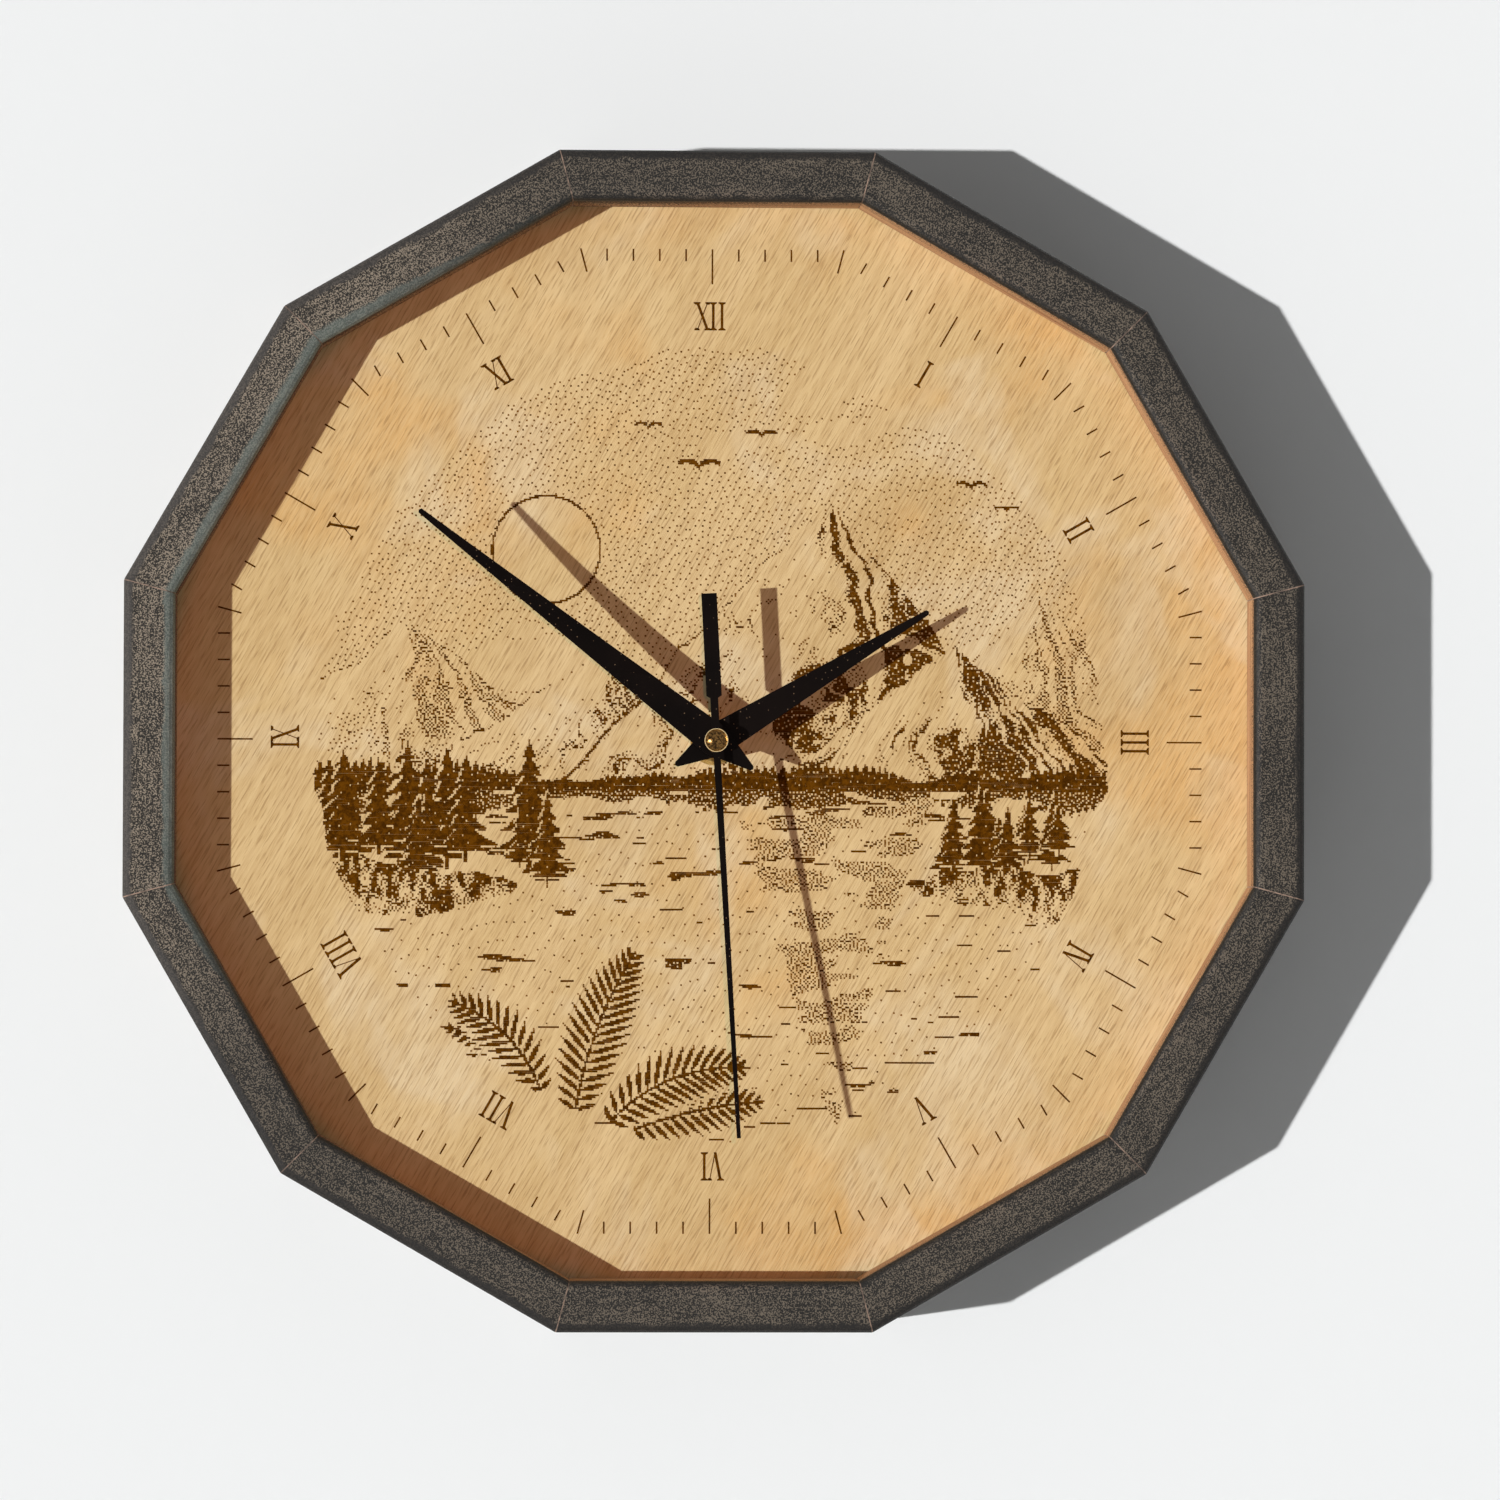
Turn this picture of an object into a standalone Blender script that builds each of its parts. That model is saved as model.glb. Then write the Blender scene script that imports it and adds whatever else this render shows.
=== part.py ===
"""Wooden wall clock: twelve mitred staves round a plywood dial, three hands, and a battery quartz movement
with its coil, circuit board and whole train of wheels behind the dial.

In the world, X runs to the right as seen from the front, Z runs up, and the front looks along -Y.
The origin is on the wall, behind the centre of the dial. All pieces hang from one empty whose own axes
suit the drawing board: X right, Y up the dial, Z straight out from the wall. Lengths are metres, and
angles on the dial are degrees clockwise from twelve.
"""
import math
import bpy
import bmesh
from mathutils import Matrix, Vector

# Gaps between pieces
SEAT = 0.0003            # between pieces that rest on each other
RUN = 0.0002             # radial clearance round an arbor, a tube or a screw
LOOSE = 0.0005           # room round a plate inside its rim

# Frame and dial
SIDES = 12
ACROSS_FLATS = 0.300
STAVE_WIDTH = 0.013
FRAME_DEPTH = 0.044
DIAL_RECESS = 0.0165     # from the front of the frame down to the ledge over the dial
RABBET_WIDTH = 0.005
FRONT_ROUNDING = 0.002
BACK_CHAMFER = 0.0006
DIAL_THICKNESS = 0.004

# Battery, a common small cell, and its contacts
BATTERY_RADIUS = 0.00725
BATTERY_LENGTH = 0.0505
BUTTON_RADIUS = 0.00275
BUTTON_LENGTH = 0.001
CONTACT_THICKNESS = 0.0004
CONTACT_WIDTH = 0.007
CONTACT_ROOM = 0.00125   # between each end of the cell and the wall of its bay

# Movement case, a square as wide as the cell and its contacts need
CASE_DEPTH = 0.0165
CASE_WALL = 0.0015
CASE_CORNER = 0.003
COVER_THICKNESS = 0.0015
COVER_LEDGE = 0.0007
LUG_REACH = 0.0005       # the cover snaps in with four lugs on its edge
LUG_THICKNESS = 0.0005
LUG_WIDTH = 0.004
DIVIDER = 0.0016
PIVOT_HOLE_DEPTH = 0.001

# Threaded bush and what it clamps
BUSH_RADIUS = 0.004
BUSH_BORE = 0.0028
BUSH_REACH = 0.01025     # how far it stands out of the dial
BUSH_COLLAR = 0.005
COLLAR_THICKNESS = 0.0006
NUT_ACROSS_FLATS = 0.010
NUT_THICKNESS = 0.0025
WASHER_RADIUS = 0.006
WASHER_THICKNESS = 0.0006
RUBBER_RADIUS = 0.009
RUBBER_THICKNESS = 0.001
HANGER_THICKNESS = 0.0008
HANGER_WIDTH = 0.026
HANGER_RISE = 0.019      # from the top of the case to the top of the hook
NAIL_HEAD_HOLE = 0.0045
NAIL_SLOT = 0.0024

# Wheels: each mesh is (teeth of the wheel, teeth of the pinion)
THIRD_TEETH, SECOND_PINION_TEETH = 60, 8
CENTRE_TEETH, THIRD_PINION_TEETH = 64, 8
SECOND_TEETH, INTERMEDIATE_PINION_TEETH = 40, 8
INTERMEDIATE_TEETH, ROTOR_PINION_TEETH = 48, 8
MINUTE_TEETH, CANNON_TEETH, SETTING_TEETH = 36, 12, 12
HOUR_TEETH, MINUTE_PINION_TEETH = 40, 10
TRAIN_MODULE = 0.00025
MOTION_MODULE = 0.0003125
PRESSURE_ANGLE = math.radians(20)
ADDENDUM = 0.8           # tooth height over the pitch circle, in modules
DEDENDUM = 1.1           # depth below it, in modules
TOOTH_SHARE = 0.8        # tooth thickness as a share of half the pitch; the rest is backlash
WHEEL_THICKNESS = 0.001
WHEEL_WINDOWS = 5
WHEEL_WEB = 0.0007       # what stays between a window and the hub, and between it and the teeth
LAYER_GAP = 0.0004
ARBOR_RADIUS = 0.0004
THIRD_DIRECTION = 60
INTERMEDIATE_DIRECTION = -30
ROTOR_DIRECTION = -45

# Coaxial tubes at the centre
SECOND_ARBOR_RADIUS = 0.0005
MINUTE_TUBE_RADIUS = 0.0016
MINUTE_BORE = 0.00075
CLUTCH_RADIUS = 0.0013   # the friction seat of the centre wheel
HOUR_TUBE_RADIUS = 0.00255
HOUR_BORE = 0.0018

# Bridge, board and motor
BRIDGE_THICKNESS = 0.001
PILLAR_RADIUS = 0.0016
PEG_RADIUS = 0.0008
MOTION_POST_RADIUS = 0.0006
BOARD_THICKNESS = 0.0008
MAGNET_RADIUS = 0.003
MAGNET_LENGTH = 0.0026
STATOR_GAP = 0.0004
STATOR_RING = 0.0012
STATOR_BAR = 0.0044
STATOR_THICKNESS = 0.001
CORE_THICKNESS = 0.001
CORE_WIDTH = 0.0026
COIL_LENGTH = 0.020
COIL_FLANGE = 0.0042
COIL_RADIUS = 0.0038
FORMER_RADIUS = 0.0022
SCREW_RADIUS = 0.0007
SCREW_HEAD_RADIUS = 0.0014
SCREW_HEAD_HEIGHT = 0.0008
SETTING_ARBOR_RADIUS = 0.0009
KNOB_RADIUS = 0.0065
KNOB_THICKNESS = 0.0028
KNOB_RIBS = 24
RIB_HEIGHT = 0.0004

# Hands
HAND_THICKNESS = 0.0005
HOUR_GAP = 0.0015        # between the end of the bush and the hour hand
MINUTE_GAP = 0.0013      # between the end of the hour tube and the minute hand
SECOND_GAP = 0.0027      # between the end of the minute tube and the second hand
COLLAR_SHARE = 0.7       # how much of its gap each hand's collar fills
TUBE_PROUD = 0.0004      # how far a tube stands through its hand
HOUR_LENGTH = 0.0636
MINUTE_LENGTH = 0.0950
MINUTE_RISE = 0.0123     # how far forward the tip is sprung
MINUTE_CURVE = 1.6       # 1 is a straight slope, and more bends the hand towards its tip
HAND_FLAT = 0.005        # the part round the hub that stays flat
HAND_TAIL = 0.012
HAND_HALF_WIDTH = 0.0042
HAND_TIP_HALF_WIDTH = 0.00065
HAND_COLLAR_WALL = 0.0009
SECOND_LENGTH = 0.1004
SECOND_RISE = 0.0158
SECOND_CURVE = 1.0
SECOND_HALF_WIDTH = 0.0009
SECOND_TIP_HALF_WIDTH = 0.0005
SECOND_HUB = 0.0022
COUNTERWEIGHT_HALF_WIDTH = 0.00195
COUNTERWEIGHT_START = 0.0113
COUNTERWEIGHT_END = 0.0373
CAP_RADIUS = 0.00302
CAP_HEIGHT = 0.001
HOUR_ANGLE = 58.6
MINUTE_ANGLE = 307.35
SECOND_ANGLE = 176.94

# Heights out from the wall
LEDGE = FRAME_DEPTH - DIAL_RECESS
DIAL_FRONT = LEDGE - SEAT
DIAL_BACK = DIAL_FRONT - DIAL_THICKNESS
RUBBER_BACK = DIAL_BACK - SEAT - RUBBER_THICKNESS
HANGER_BACK = RUBBER_BACK - SEAT - HANGER_THICKNESS
CASE_FRONT = HANGER_BACK - SEAT
CASE_BACK = CASE_FRONT - CASE_DEPTH
CASE_FLOOR = CASE_FRONT - CASE_WALL
COVER_FRONT = CASE_BACK + COVER_THICKNESS
PIVOT_END = CASE_FLOOR + PIVOT_HOLE_DEPTH - SEAT
BRASS_BACK = DIAL_FRONT + SEAT
NUT_BACK = BRASS_BACK + WASHER_THICKNESS + SEAT
BUSH_FRONT = DIAL_FRONT + BUSH_REACH


def layer(number):
    """Back of a wheel's layer; layer 0 lies next to the front wall of the case."""
    return CASE_FLOOR - LAYER_GAP - (number + 1) * WHEEL_THICKNESS - number * LAYER_GAP


HOUR_LAYER, MINUTE_LAYER, CENTRE_LAYER = layer(0), layer(1), layer(2)
THIRD_LAYER, SECOND_LAYER, INTERMEDIATE_LAYER = layer(3), layer(4), layer(5)
PINION_BITE = LAYER_GAP + WHEEL_THICKNESS / 5      # a pinion runs this far on, into its own wheel
BRIDGE_BACK = INTERMEDIATE_LAYER - LAYER_GAP - BRIDGE_THICKNESS
ARBOR_BACK = BRIDGE_BACK + RUN
BOARD_BACK = BRIDGE_BACK - SEAT - BOARD_THICKNESS

HOUR_HAND_BACK = BUSH_FRONT + HOUR_GAP
HOUR_TUBE_FRONT = HOUR_HAND_BACK + HAND_THICKNESS + TUBE_PROUD
MINUTE_HAND_BACK = HOUR_TUBE_FRONT + MINUTE_GAP
MINUTE_TUBE_FRONT = MINUTE_HAND_BACK + HAND_THICKNESS + TUBE_PROUD
SECOND_HAND_BACK = MINUTE_TUBE_FRONT + SECOND_GAP
CAP_BACK = SECOND_HAND_BACK + HAND_THICKNESS + SEAT
SECOND_ARBOR_FRONT = CAP_BACK + CAP_HEIGHT * 0.4


def toward(degrees, distance, start=(0, 0)):
    """The point at a distance from start, in a direction given clockwise from twelve."""
    angle = math.radians(degrees)
    return (start[0] + distance * math.sin(angle), start[1] + distance * math.cos(angle))


def spacing(wheel_teeth, pinion_teeth, module):
    return module * (wheel_teeth + pinion_teeth) / 2


# Modules and centres of the meshes. The centre and third wheels share one distance, the motion work's
# two pairs share another, and the intermediate arbor just clears the rim of the centre wheel.
THIRD_DISTANCE = spacing(THIRD_TEETH, SECOND_PINION_TEETH, TRAIN_MODULE)
CENTRE_MODULE = 2 * THIRD_DISTANCE / (CENTRE_TEETH + THIRD_PINION_TEETH)
CENTRE_RIM = CENTRE_MODULE * (CENTRE_TEETH / 2 + ADDENDUM)
INTERMEDIATE_DISTANCE = CENTRE_RIM + ARBOR_RADIUS + LOOSE
SECOND_MODULE = 2 * INTERMEDIATE_DISTANCE / (SECOND_TEETH + INTERMEDIATE_PINION_TEETH)
ROTOR_DISTANCE = spacing(INTERMEDIATE_TEETH, ROTOR_PINION_TEETH, TRAIN_MODULE)
MOTION_DISTANCE = spacing(MINUTE_TEETH, CANNON_TEETH, MOTION_MODULE)
HOUR_MODULE = 2 * MOTION_DISTANCE / (HOUR_TEETH + MINUTE_PINION_TEETH)

CENTRE_AXIS = (0, 0)
THIRD_AXIS = toward(THIRD_DIRECTION, THIRD_DISTANCE)
INTERMEDIATE_AXIS = toward(INTERMEDIATE_DIRECTION, INTERMEDIATE_DISTANCE)
ROTOR_AXIS = toward(ROTOR_DIRECTION, ROTOR_DISTANCE, INTERMEDIATE_AXIS)
MOTION_AXIS = (-MOTION_DISTANCE, 0)
SETTING_AXIS = (-2 * MOTION_DISTANCE, 0)

# The battery bay fills the bottom of the case, under a divider
CASE_INSIDE = BATTERY_LENGTH / 2 + CONTACT_ROOM
CASE_WIDTH = 2 * (CASE_INSIDE + CASE_WALL)
BATTERY_AXIS_Y = -CASE_INSIDE + SEAT + BATTERY_RADIUS
BATTERY_AXIS_Z = CASE_FLOOR - SEAT - BATTERY_RADIUS
DIVIDER_BOTTOM = BATTERY_AXIS_Y + BATTERY_RADIUS + SEAT
DIVIDER_TOP = DIVIDER_BOTTOM + DIVIDER


def collection(name):
    made = bpy.data.collections.new(name)
    bpy.context.scene.collection.children.link(made)
    return made


for old in list(bpy.data.objects):
    bpy.data.objects.remove(old, do_unlink=True)
CLOCK = collection("wall_clock")
CUTTERS = collection("cutters")
BENCH = bpy.data.objects.new("bench_axes", None)
BENCH.rotation_euler = (math.pi / 2, 0, 0)
CLOCK.objects.link(BENCH)


def finish(name, colour, roughness, metallic=0.0):
    material = bpy.data.materials.new(name)
    material.use_nodes = True
    shader = material.node_tree.nodes["Principled BSDF"]
    shader.inputs["Base Color"].default_value = (*colour, 1)
    shader.inputs["Roughness"].default_value = roughness
    shader.inputs["Metallic"].default_value = metallic
    return material


BLACK_PAINT = finish("black_painted_wood", (0.055, 0.048, 0.040), 0.75)
DIAL_WOOD = finish("pale_plywood", (0.64, 0.42, 0.17), 0.6)
HAND_PAINT = finish("black_hand_paint", (0.012, 0.011, 0.012), 0.5)
BRASS = finish("brass", (0.72, 0.50, 0.20), 0.3, 1.0)
STEEL = finish("zinc_plated_steel", (0.62, 0.63, 0.65), 0.35, 1.0)
CASE_PLASTIC = finish("black_case_plastic", (0.022, 0.022, 0.024), 0.5)
RUBBER = finish("black_rubber", (0.02, 0.02, 0.02), 0.85)
WHEEL_PLASTIC = finish("white_wheel_plastic", (0.80, 0.79, 0.74), 0.45)
BOARD_LACQUER = finish("board_lacquer", (0.03, 0.16, 0.06), 0.45)
COPPER = finish("copper_wire", (0.72, 0.30, 0.13), 0.35, 1.0)
IRON = finish("core_iron", (0.45, 0.44, 0.43), 0.4, 1.0)
FERRITE = finish("rotor_ferrite", (0.07, 0.07, 0.08), 0.6)
CELL_JACKET = finish("battery_jacket", (0.05, 0.09, 0.22), 0.35)


def place(name, mesh, at=(0, 0), z=0.0, material=None, helper=False):
    """A mesh as an object on the bench axes; helpers are the hidden pieces that join or cut others."""
    made = bpy.data.objects.new(name, mesh)
    made.location = (at[0], at[1], z)
    made.parent = BENCH
    if helper:
        CUTTERS.objects.link(made)
        made.hide_render = True
        made.display_type = 'WIRE'
    else:
        CLOCK.objects.link(made)
    if material:
        mesh.materials.append(material)
    return made


def circle(radius, points=24, at=(0, 0), start=0.0):
    return [(at[0] + radius * math.cos(start + math.tau * i / points),
             at[1] + radius * math.sin(start + math.tau * i / points)) for i in range(points)]


def rounded(corners, radii, steps=4, closed=True):
    """A polyline with its corners turned into arcs; radii is one value, or one for each corner."""
    if not isinstance(radii, (list, tuple)):
        radii = [radii] * len(corners)
    points = []
    for i, corner in enumerate(corners):
        radius = radii[i]
        at_end = not closed and i in (0, len(corners) - 1)
        if radius == 0 or at_end:
            points.append(corner)
            continue
        here = Vector(corner)
        back = (Vector(corners[i - 1]) - here).normalized()
        ahead = (Vector(corners[(i + 1) % len(corners)]) - here).normalized()
        half = back.angle(ahead) / 2
        centre = here + (back + ahead).normalized() * radius / math.sin(half)
        first = here + back * radius / math.tan(half) - centre
        last = here + ahead * radius / math.tan(half) - centre
        for step in range(steps + 1):
            spoke = first.lerp(last, step / steps).normalized() * radius
            points.append(tuple(centre + spoke))
    return points


def rectangle(x_low, x_high, y_low, y_high, radius=0.0, lower_radius=None):
    """A rectangle with rounded corners; the lower two can have a radius of their own."""
    lower = radius if lower_radius is None else lower_radius
    corners = [(x_low, y_low), (x_high, y_low), (x_high, y_high), (x_low, y_high)]
    return rounded(corners, [lower, lower, radius, radius])


def strip(path, thickness):
    """The outline of a thin bent strip whose middle follows the path."""
    middle = [Vector(point) for point in path]
    left, right = [], []
    for i, point in enumerate(middle):
        before = (point - middle[i - 1]).normalized() if i else None
        after = (middle[i + 1] - point).normalized() if i < len(middle) - 1 else None
        along = ((before or after) + (after or before)).normalized()
        across = Vector((-along.y, along.x)) * thickness / 2
        across /= along.dot(before or after)
        left.append(tuple(point + across))
        right.append(tuple(point - across))
    return left + right[::-1]


def soft_sides(mesh):
    """Curved faces shaded smooth, with the true edges kept sharp."""
    mesh.shade_smooth()
    mesh.set_sharp_from_angle(angle=math.radians(35))
    return mesh


def prism_mesh(name, outlines, thickness):
    """The first outline filled and made thick, with the others as holes; its back is at z = 0.

    It is drawn in millimetres and scaled down, because a curve's fill drops steps as small as a tooth's.
    """
    millimetres = 1000
    curve = bpy.data.curves.new(name, 'CURVE')
    curve.dimensions = '2D'
    curve.fill_mode = 'BOTH'
    curve.extrude = thickness * millimetres / 2
    for outline in outlines:
        spline = curve.splines.new('POLY')
        spline.points.add(len(outline) - 1)
        for point, (x, y) in zip(spline.points, outline):
            point.co = (x * millimetres, y * millimetres, 0, 1)
        spline.use_cyclic_u = True
    drawn = bpy.data.objects.new(name, curve)
    CUTTERS.objects.link(drawn)
    bpy.context.view_layer.update()
    mesh = bpy.data.meshes.new_from_object(drawn.evaluated_get(bpy.context.evaluated_depsgraph_get()))
    bpy.data.objects.remove(drawn)
    bpy.data.curves.remove(curve)
    solid = bmesh.new()
    solid.from_mesh(mesh)
    bmesh.ops.remove_doubles(solid, verts=solid.verts, dist=0.001)
    solid.to_mesh(mesh)
    solid.free()
    mesh.transform(Matrix.Translation((0, 0, thickness / 2)) @ Matrix.Scale(1 / millimetres, 4))
    mesh.name = name
    return soft_sides(mesh)


def flat(name, outlines, back, front, at=(0, 0), material=None, helper=False):
    """A flat piece between two heights. Its outlines are drawn about the point at."""
    return place(name, prism_mesh(name, outlines, front - back), at, back, material, helper)


def turned(name, profile, at=(0, 0), z=0.0, material=None, helper=False, steps=24):
    """A piece turned on its own Z axis. The profile's (radius, height) points run from top to bottom."""
    mesh = bpy.data.meshes.new(name)
    mesh.from_pydata([(radius, 0, height) for radius, height in profile],
                     [(i, i + 1) for i in range(len(profile) - 1)], [])
    made = place(name, mesh, at, z, material, helper)
    screw = made.modifiers.new("turn", 'SCREW')
    screw.steps = steps
    screw.render_steps = steps
    screw.use_merge_vertices = True
    screw.merge_threshold = 0.000001
    bpy.context.view_layer.update()
    lathed = bpy.data.meshes.new_from_object(made.evaluated_get(bpy.context.evaluated_depsgraph_get()))
    made.modifiers.clear()
    made.data = soft_sides(lathed)
    bpy.data.meshes.remove(mesh)
    lathed.name = name
    return made


def ring_profile(outer, inner, low, high):
    """A closed section for a turned ring."""
    return [(inner, high), (outer, high), (outer, low), (inner, low), (inner, high)]


def rods(name, rows, segments=16):
    """One helper made of upright rods; each row is (axis, radius, back, front)."""
    solid = bmesh.new()
    for (x, y), radius, back, front in rows:
        centre = Matrix.Translation((x, y, (back + front) / 2))
        bmesh.ops.create_cone(solid, cap_ends=True, segments=segments, radius1=radius, radius2=radius,
                              depth=front - back, matrix=centre)
    mesh = bpy.data.meshes.new(name)
    solid.to_mesh(mesh)
    solid.free()
    return place(name, mesh, helper=True)


def block(name, low, high):
    """One helper box between two corners."""
    solid = bmesh.new()
    bmesh.ops.create_cube(solid, size=1.0)
    mesh = bpy.data.meshes.new(name)
    solid.to_mesh(mesh)
    solid.free()
    size = Vector(high) - Vector(low)
    mesh.transform(Matrix.Translation((Vector(high) + Vector(low)) / 2) @ Matrix.Diagonal((*size, 1)))
    return place(name, mesh, helper=True)


def combine(target, tool, operation):
    boolean = target.modifiers.new(tool.name, 'BOOLEAN')
    boolean.operation = operation
    boolean.object = tool
    boolean.solver = 'EXACT'


# Frame: one stave is drawn as a profile, run along its length and cut at both mitres.
def stave_mesh():
    outer = ACROSS_FLATS / 2
    inner = outer - STAVE_WIDTH
    chamfer = BACK_CHAMFER
    profile = rounded(
        [(0, outer - chamfer), (chamfer, outer), (FRAME_DEPTH, outer), (FRAME_DEPTH, inner),
         (LEDGE, inner), (LEDGE, inner + RABBET_WIDTH), (0, inner + RABBET_WIDTH)],
        [0, 0, FRONT_ROUNDING, FRONT_ROUNDING, 0, 0, 0])
    length = 2 * outer * math.tan(math.pi / SIDES)
    mesh = prism_mesh("frame_stave", [profile], length)
    # The drawn X is the height out from the wall, the drawn Y the radius, and the run becomes bench X.
    mesh.transform(Matrix(((0, 0, 1, -length / 2), (0, 1, 0, 0), (-1, 0, 0, 0), (0, 0, 0, 1))))
    mesh.transform(Matrix.Scale(-1, 4, (0, 0, 1)))
    mesh.flip_normals()
    solid = bmesh.new()
    solid.from_mesh(mesh)
    for side in (-1, 1):
        out = Vector((side * math.cos(math.pi / SIDES), -math.sin(math.pi / SIDES), 0))
        cut = bmesh.ops.bisect_plane(solid, geom=solid.verts[:] + solid.edges[:] + solid.faces[:],
                                     plane_co=-out * SEAT / 2, plane_no=out, clear_outer=True)
        rim = [piece for piece in cut["geom_cut"] if isinstance(piece, bmesh.types.BMEdge)]
        bmesh.ops.contextual_create(solid, geom=rim)
    bmesh.ops.recalc_face_normals(solid, faces=solid.faces)
    solid.to_mesh(mesh)
    solid.free()
    mesh.materials.append(BLACK_PAINT)
    return soft_sides(mesh)


def make_frame():
    mesh = stave_mesh()
    for number in range(SIDES):
        stave = place(f"frame_stave_{number + 1:02d}", mesh)
        stave.rotation_euler.z = -math.tau * number / SIDES


def make_dial():
    inradius = ACROSS_FLATS / 2 - STAVE_WIDTH + RABBET_WIDTH - SEAT
    corner = inradius / math.cos(math.pi / SIDES)
    outline = circle(corner, SIDES, start=math.pi / SIDES)
    flat("dial_panel", [outline, circle(BUSH_RADIUS + SEAT)], DIAL_BACK, DIAL_FRONT, material=DIAL_WOOD)


# Places inside the case that the case, the bridge and the motor share
PILLAR_X = CASE_INSIDE - 0.0055
PILLARS = [(x, y) for x in (-PILLAR_X, PILLAR_X) for y in (DIVIDER_TOP + 0.0035, ROTOR_AXIS[1] - 0.0025)]
STATOR_FRONT = MINUTE_LAYER
STATOR_BACK = STATOR_FRONT - STATOR_THICKNESS
CORE_FRONT = STATOR_BACK - SEAT
CORE_BACK = CORE_FRONT - CORE_THICKNESS
COIL_Z = (CORE_FRONT + CORE_BACK) / 2
COIL_Y = CASE_INSIDE - COIL_FLANGE - LOOSE
STATOR_BORE = MAGNET_RADIUS + STATOR_GAP
STATOR_RIM = STATOR_BORE + STATOR_RING
ARM_WIDTH = 2 * SCREW_HEAD_RADIUS + 0.0016
LEFT_ARM_X = ROTOR_AXIS[0] - STATOR_RIM - LOOSE - ARM_WIDTH / 2
RIGHT_ARM_X = LEFT_ARM_X + ARM_WIDTH + COIL_LENGTH + 2 * LOOSE
CORE_SCREWS = [(LEFT_ARM_X, COIL_Y), (RIGHT_ARM_X, COIL_Y)]
WELL_RADIUS = KNOB_RADIUS + RIB_HEIGHT + LOOSE
KNOB_BACK = CASE_BACK + RUN
KNOB_FRONT = KNOB_BACK + KNOB_THICKNESS
WELL_FLOOR_BACK = KNOB_FRONT + SEAT
WELL_FLOOR_FRONT = WELL_FLOOR_BACK + 0.0008
LUG_FRONT = COVER_FRONT - RUN
LUG_PLACES = [(side, y) for side in (-1, 1) for y in (DIVIDER_TOP + 0.007, CASE_INSIDE - 0.007)]
STRIP_FRONT = BATTERY_AXIS_Z + CONTACT_WIDTH * 0.3
STRIP_BACK = STRIP_FRONT - CONTACT_WIDTH


def make_case():
    half = CASE_WIDTH / 2
    beyond = CASE_BACK - 0.001
    case = flat("movement_case", [rectangle(-half, half, -half, half, CASE_CORNER)], CASE_BACK, CASE_FRONT,
                material=CASE_PLASTIC)
    web = CASE_FLOOR + COLLAR_THICKNESS + SEAT
    bore = turned("bush_hole", [(0, CASE_FRONT + 0.001), (BUSH_RADIUS + RUN, CASE_FRONT + 0.001),
                                (BUSH_RADIUS + RUN, web), (BUSH_COLLAR + RUN, web),
                                (BUSH_COLLAR + RUN, CASE_FLOOR - 0.0001), (0, CASE_FLOOR - 0.0001)],
                  helper=True)
    combine(case, bore, 'DIFFERENCE')
    inner = CASE_INSIDE
    corner = CASE_CORNER - CASE_WALL
    room = flat("case_room", [rectangle(-inner, inner, DIVIDER_TOP, inner, corner, 0)], beyond, CASE_FLOOR,
                helper=True)
    rim = inner + COVER_LEDGE
    seat = flat("cover_seat", [rectangle(-rim, rim, DIVIDER_TOP - COVER_LEDGE, rim,
                                         corner + COVER_LEDGE, 0)],
                beyond, COVER_FRONT + SEAT, helper=True)
    bay = block("battery_room", (-inner, -inner, beyond), (inner, DIVIDER_BOTTOM, CASE_FLOOR))
    slot = 2 * CONTACT_THICKNESS + 2 * SEAT
    for side, x in (("left", -inner), ("right", inner - slot)):
        gate = block(f"contact_slot_{side}", (x, DIVIDER_BOTTOM - SEAT, beyond),
                     (x + slot, DIVIDER_TOP + SEAT, STRIP_FRONT + SEAT))
        combine(case, gate, 'DIFFERENCE')
    for cutter in (room, seat, bay):
        combine(case, cutter, 'DIFFERENCE')
    for number, (side, y) in enumerate(LUG_PLACES, 1):
        near, far = side * CASE_INSIDE, side * (half + 0.001)
        window = block(f"lug_window_{number}",
                       (min(near, far), y - LUG_WIDTH / 2 - RUN, LUG_FRONT - LUG_THICKNESS - RUN),
                       (max(near, far), y + LUG_WIDTH / 2 + RUN, LUG_FRONT + RUN))
        combine(case, window, 'DIFFERENCE')
    root = CASE_FLOOR + CASE_WALL / 3
    posts = [(axis, PILLAR_RADIUS, BRIDGE_BACK + BRIDGE_THICKNESS + SEAT, root) for axis in PILLARS]
    posts += [(axis, SCREW_HEAD_RADIUS + RUN, STATOR_FRONT + SEAT, root) for axis in CORE_SCREWS]
    posts.append((MOTION_AXIS, MOTION_POST_RADIUS, CENTRE_LAYER + WHEEL_THICKNESS + LAYER_GAP / 2, root))
    combine(case, rods("case_posts", posts), 'UNION')
    pegs = [(axis, PEG_RADIUS, BRIDGE_BACK, BRIDGE_BACK + BRIDGE_THICKNESS + 0.001) for axis in PILLARS]
    combine(case, rods("case_pegs", pegs), 'UNION')
    top = CASE_FLOOR + PIVOT_HOLE_DEPTH
    holes = [(axis, ARBOR_RADIUS + RUN, CASE_FLOOR - 0.0001, top)
             for axis in (THIRD_AXIS, INTERMEDIATE_AXIS, ROTOR_AXIS)]
    holes.append((SETTING_AXIS, SETTING_ARBOR_RADIUS + RUN, CASE_FLOOR - 0.0001, top))
    holes += [(axis, SCREW_RADIUS + RUN, STATOR_FRONT, CASE_FLOOR) for axis in CORE_SCREWS]
    combine(case, rods("case_holes", holes), 'DIFFERENCE')


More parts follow.
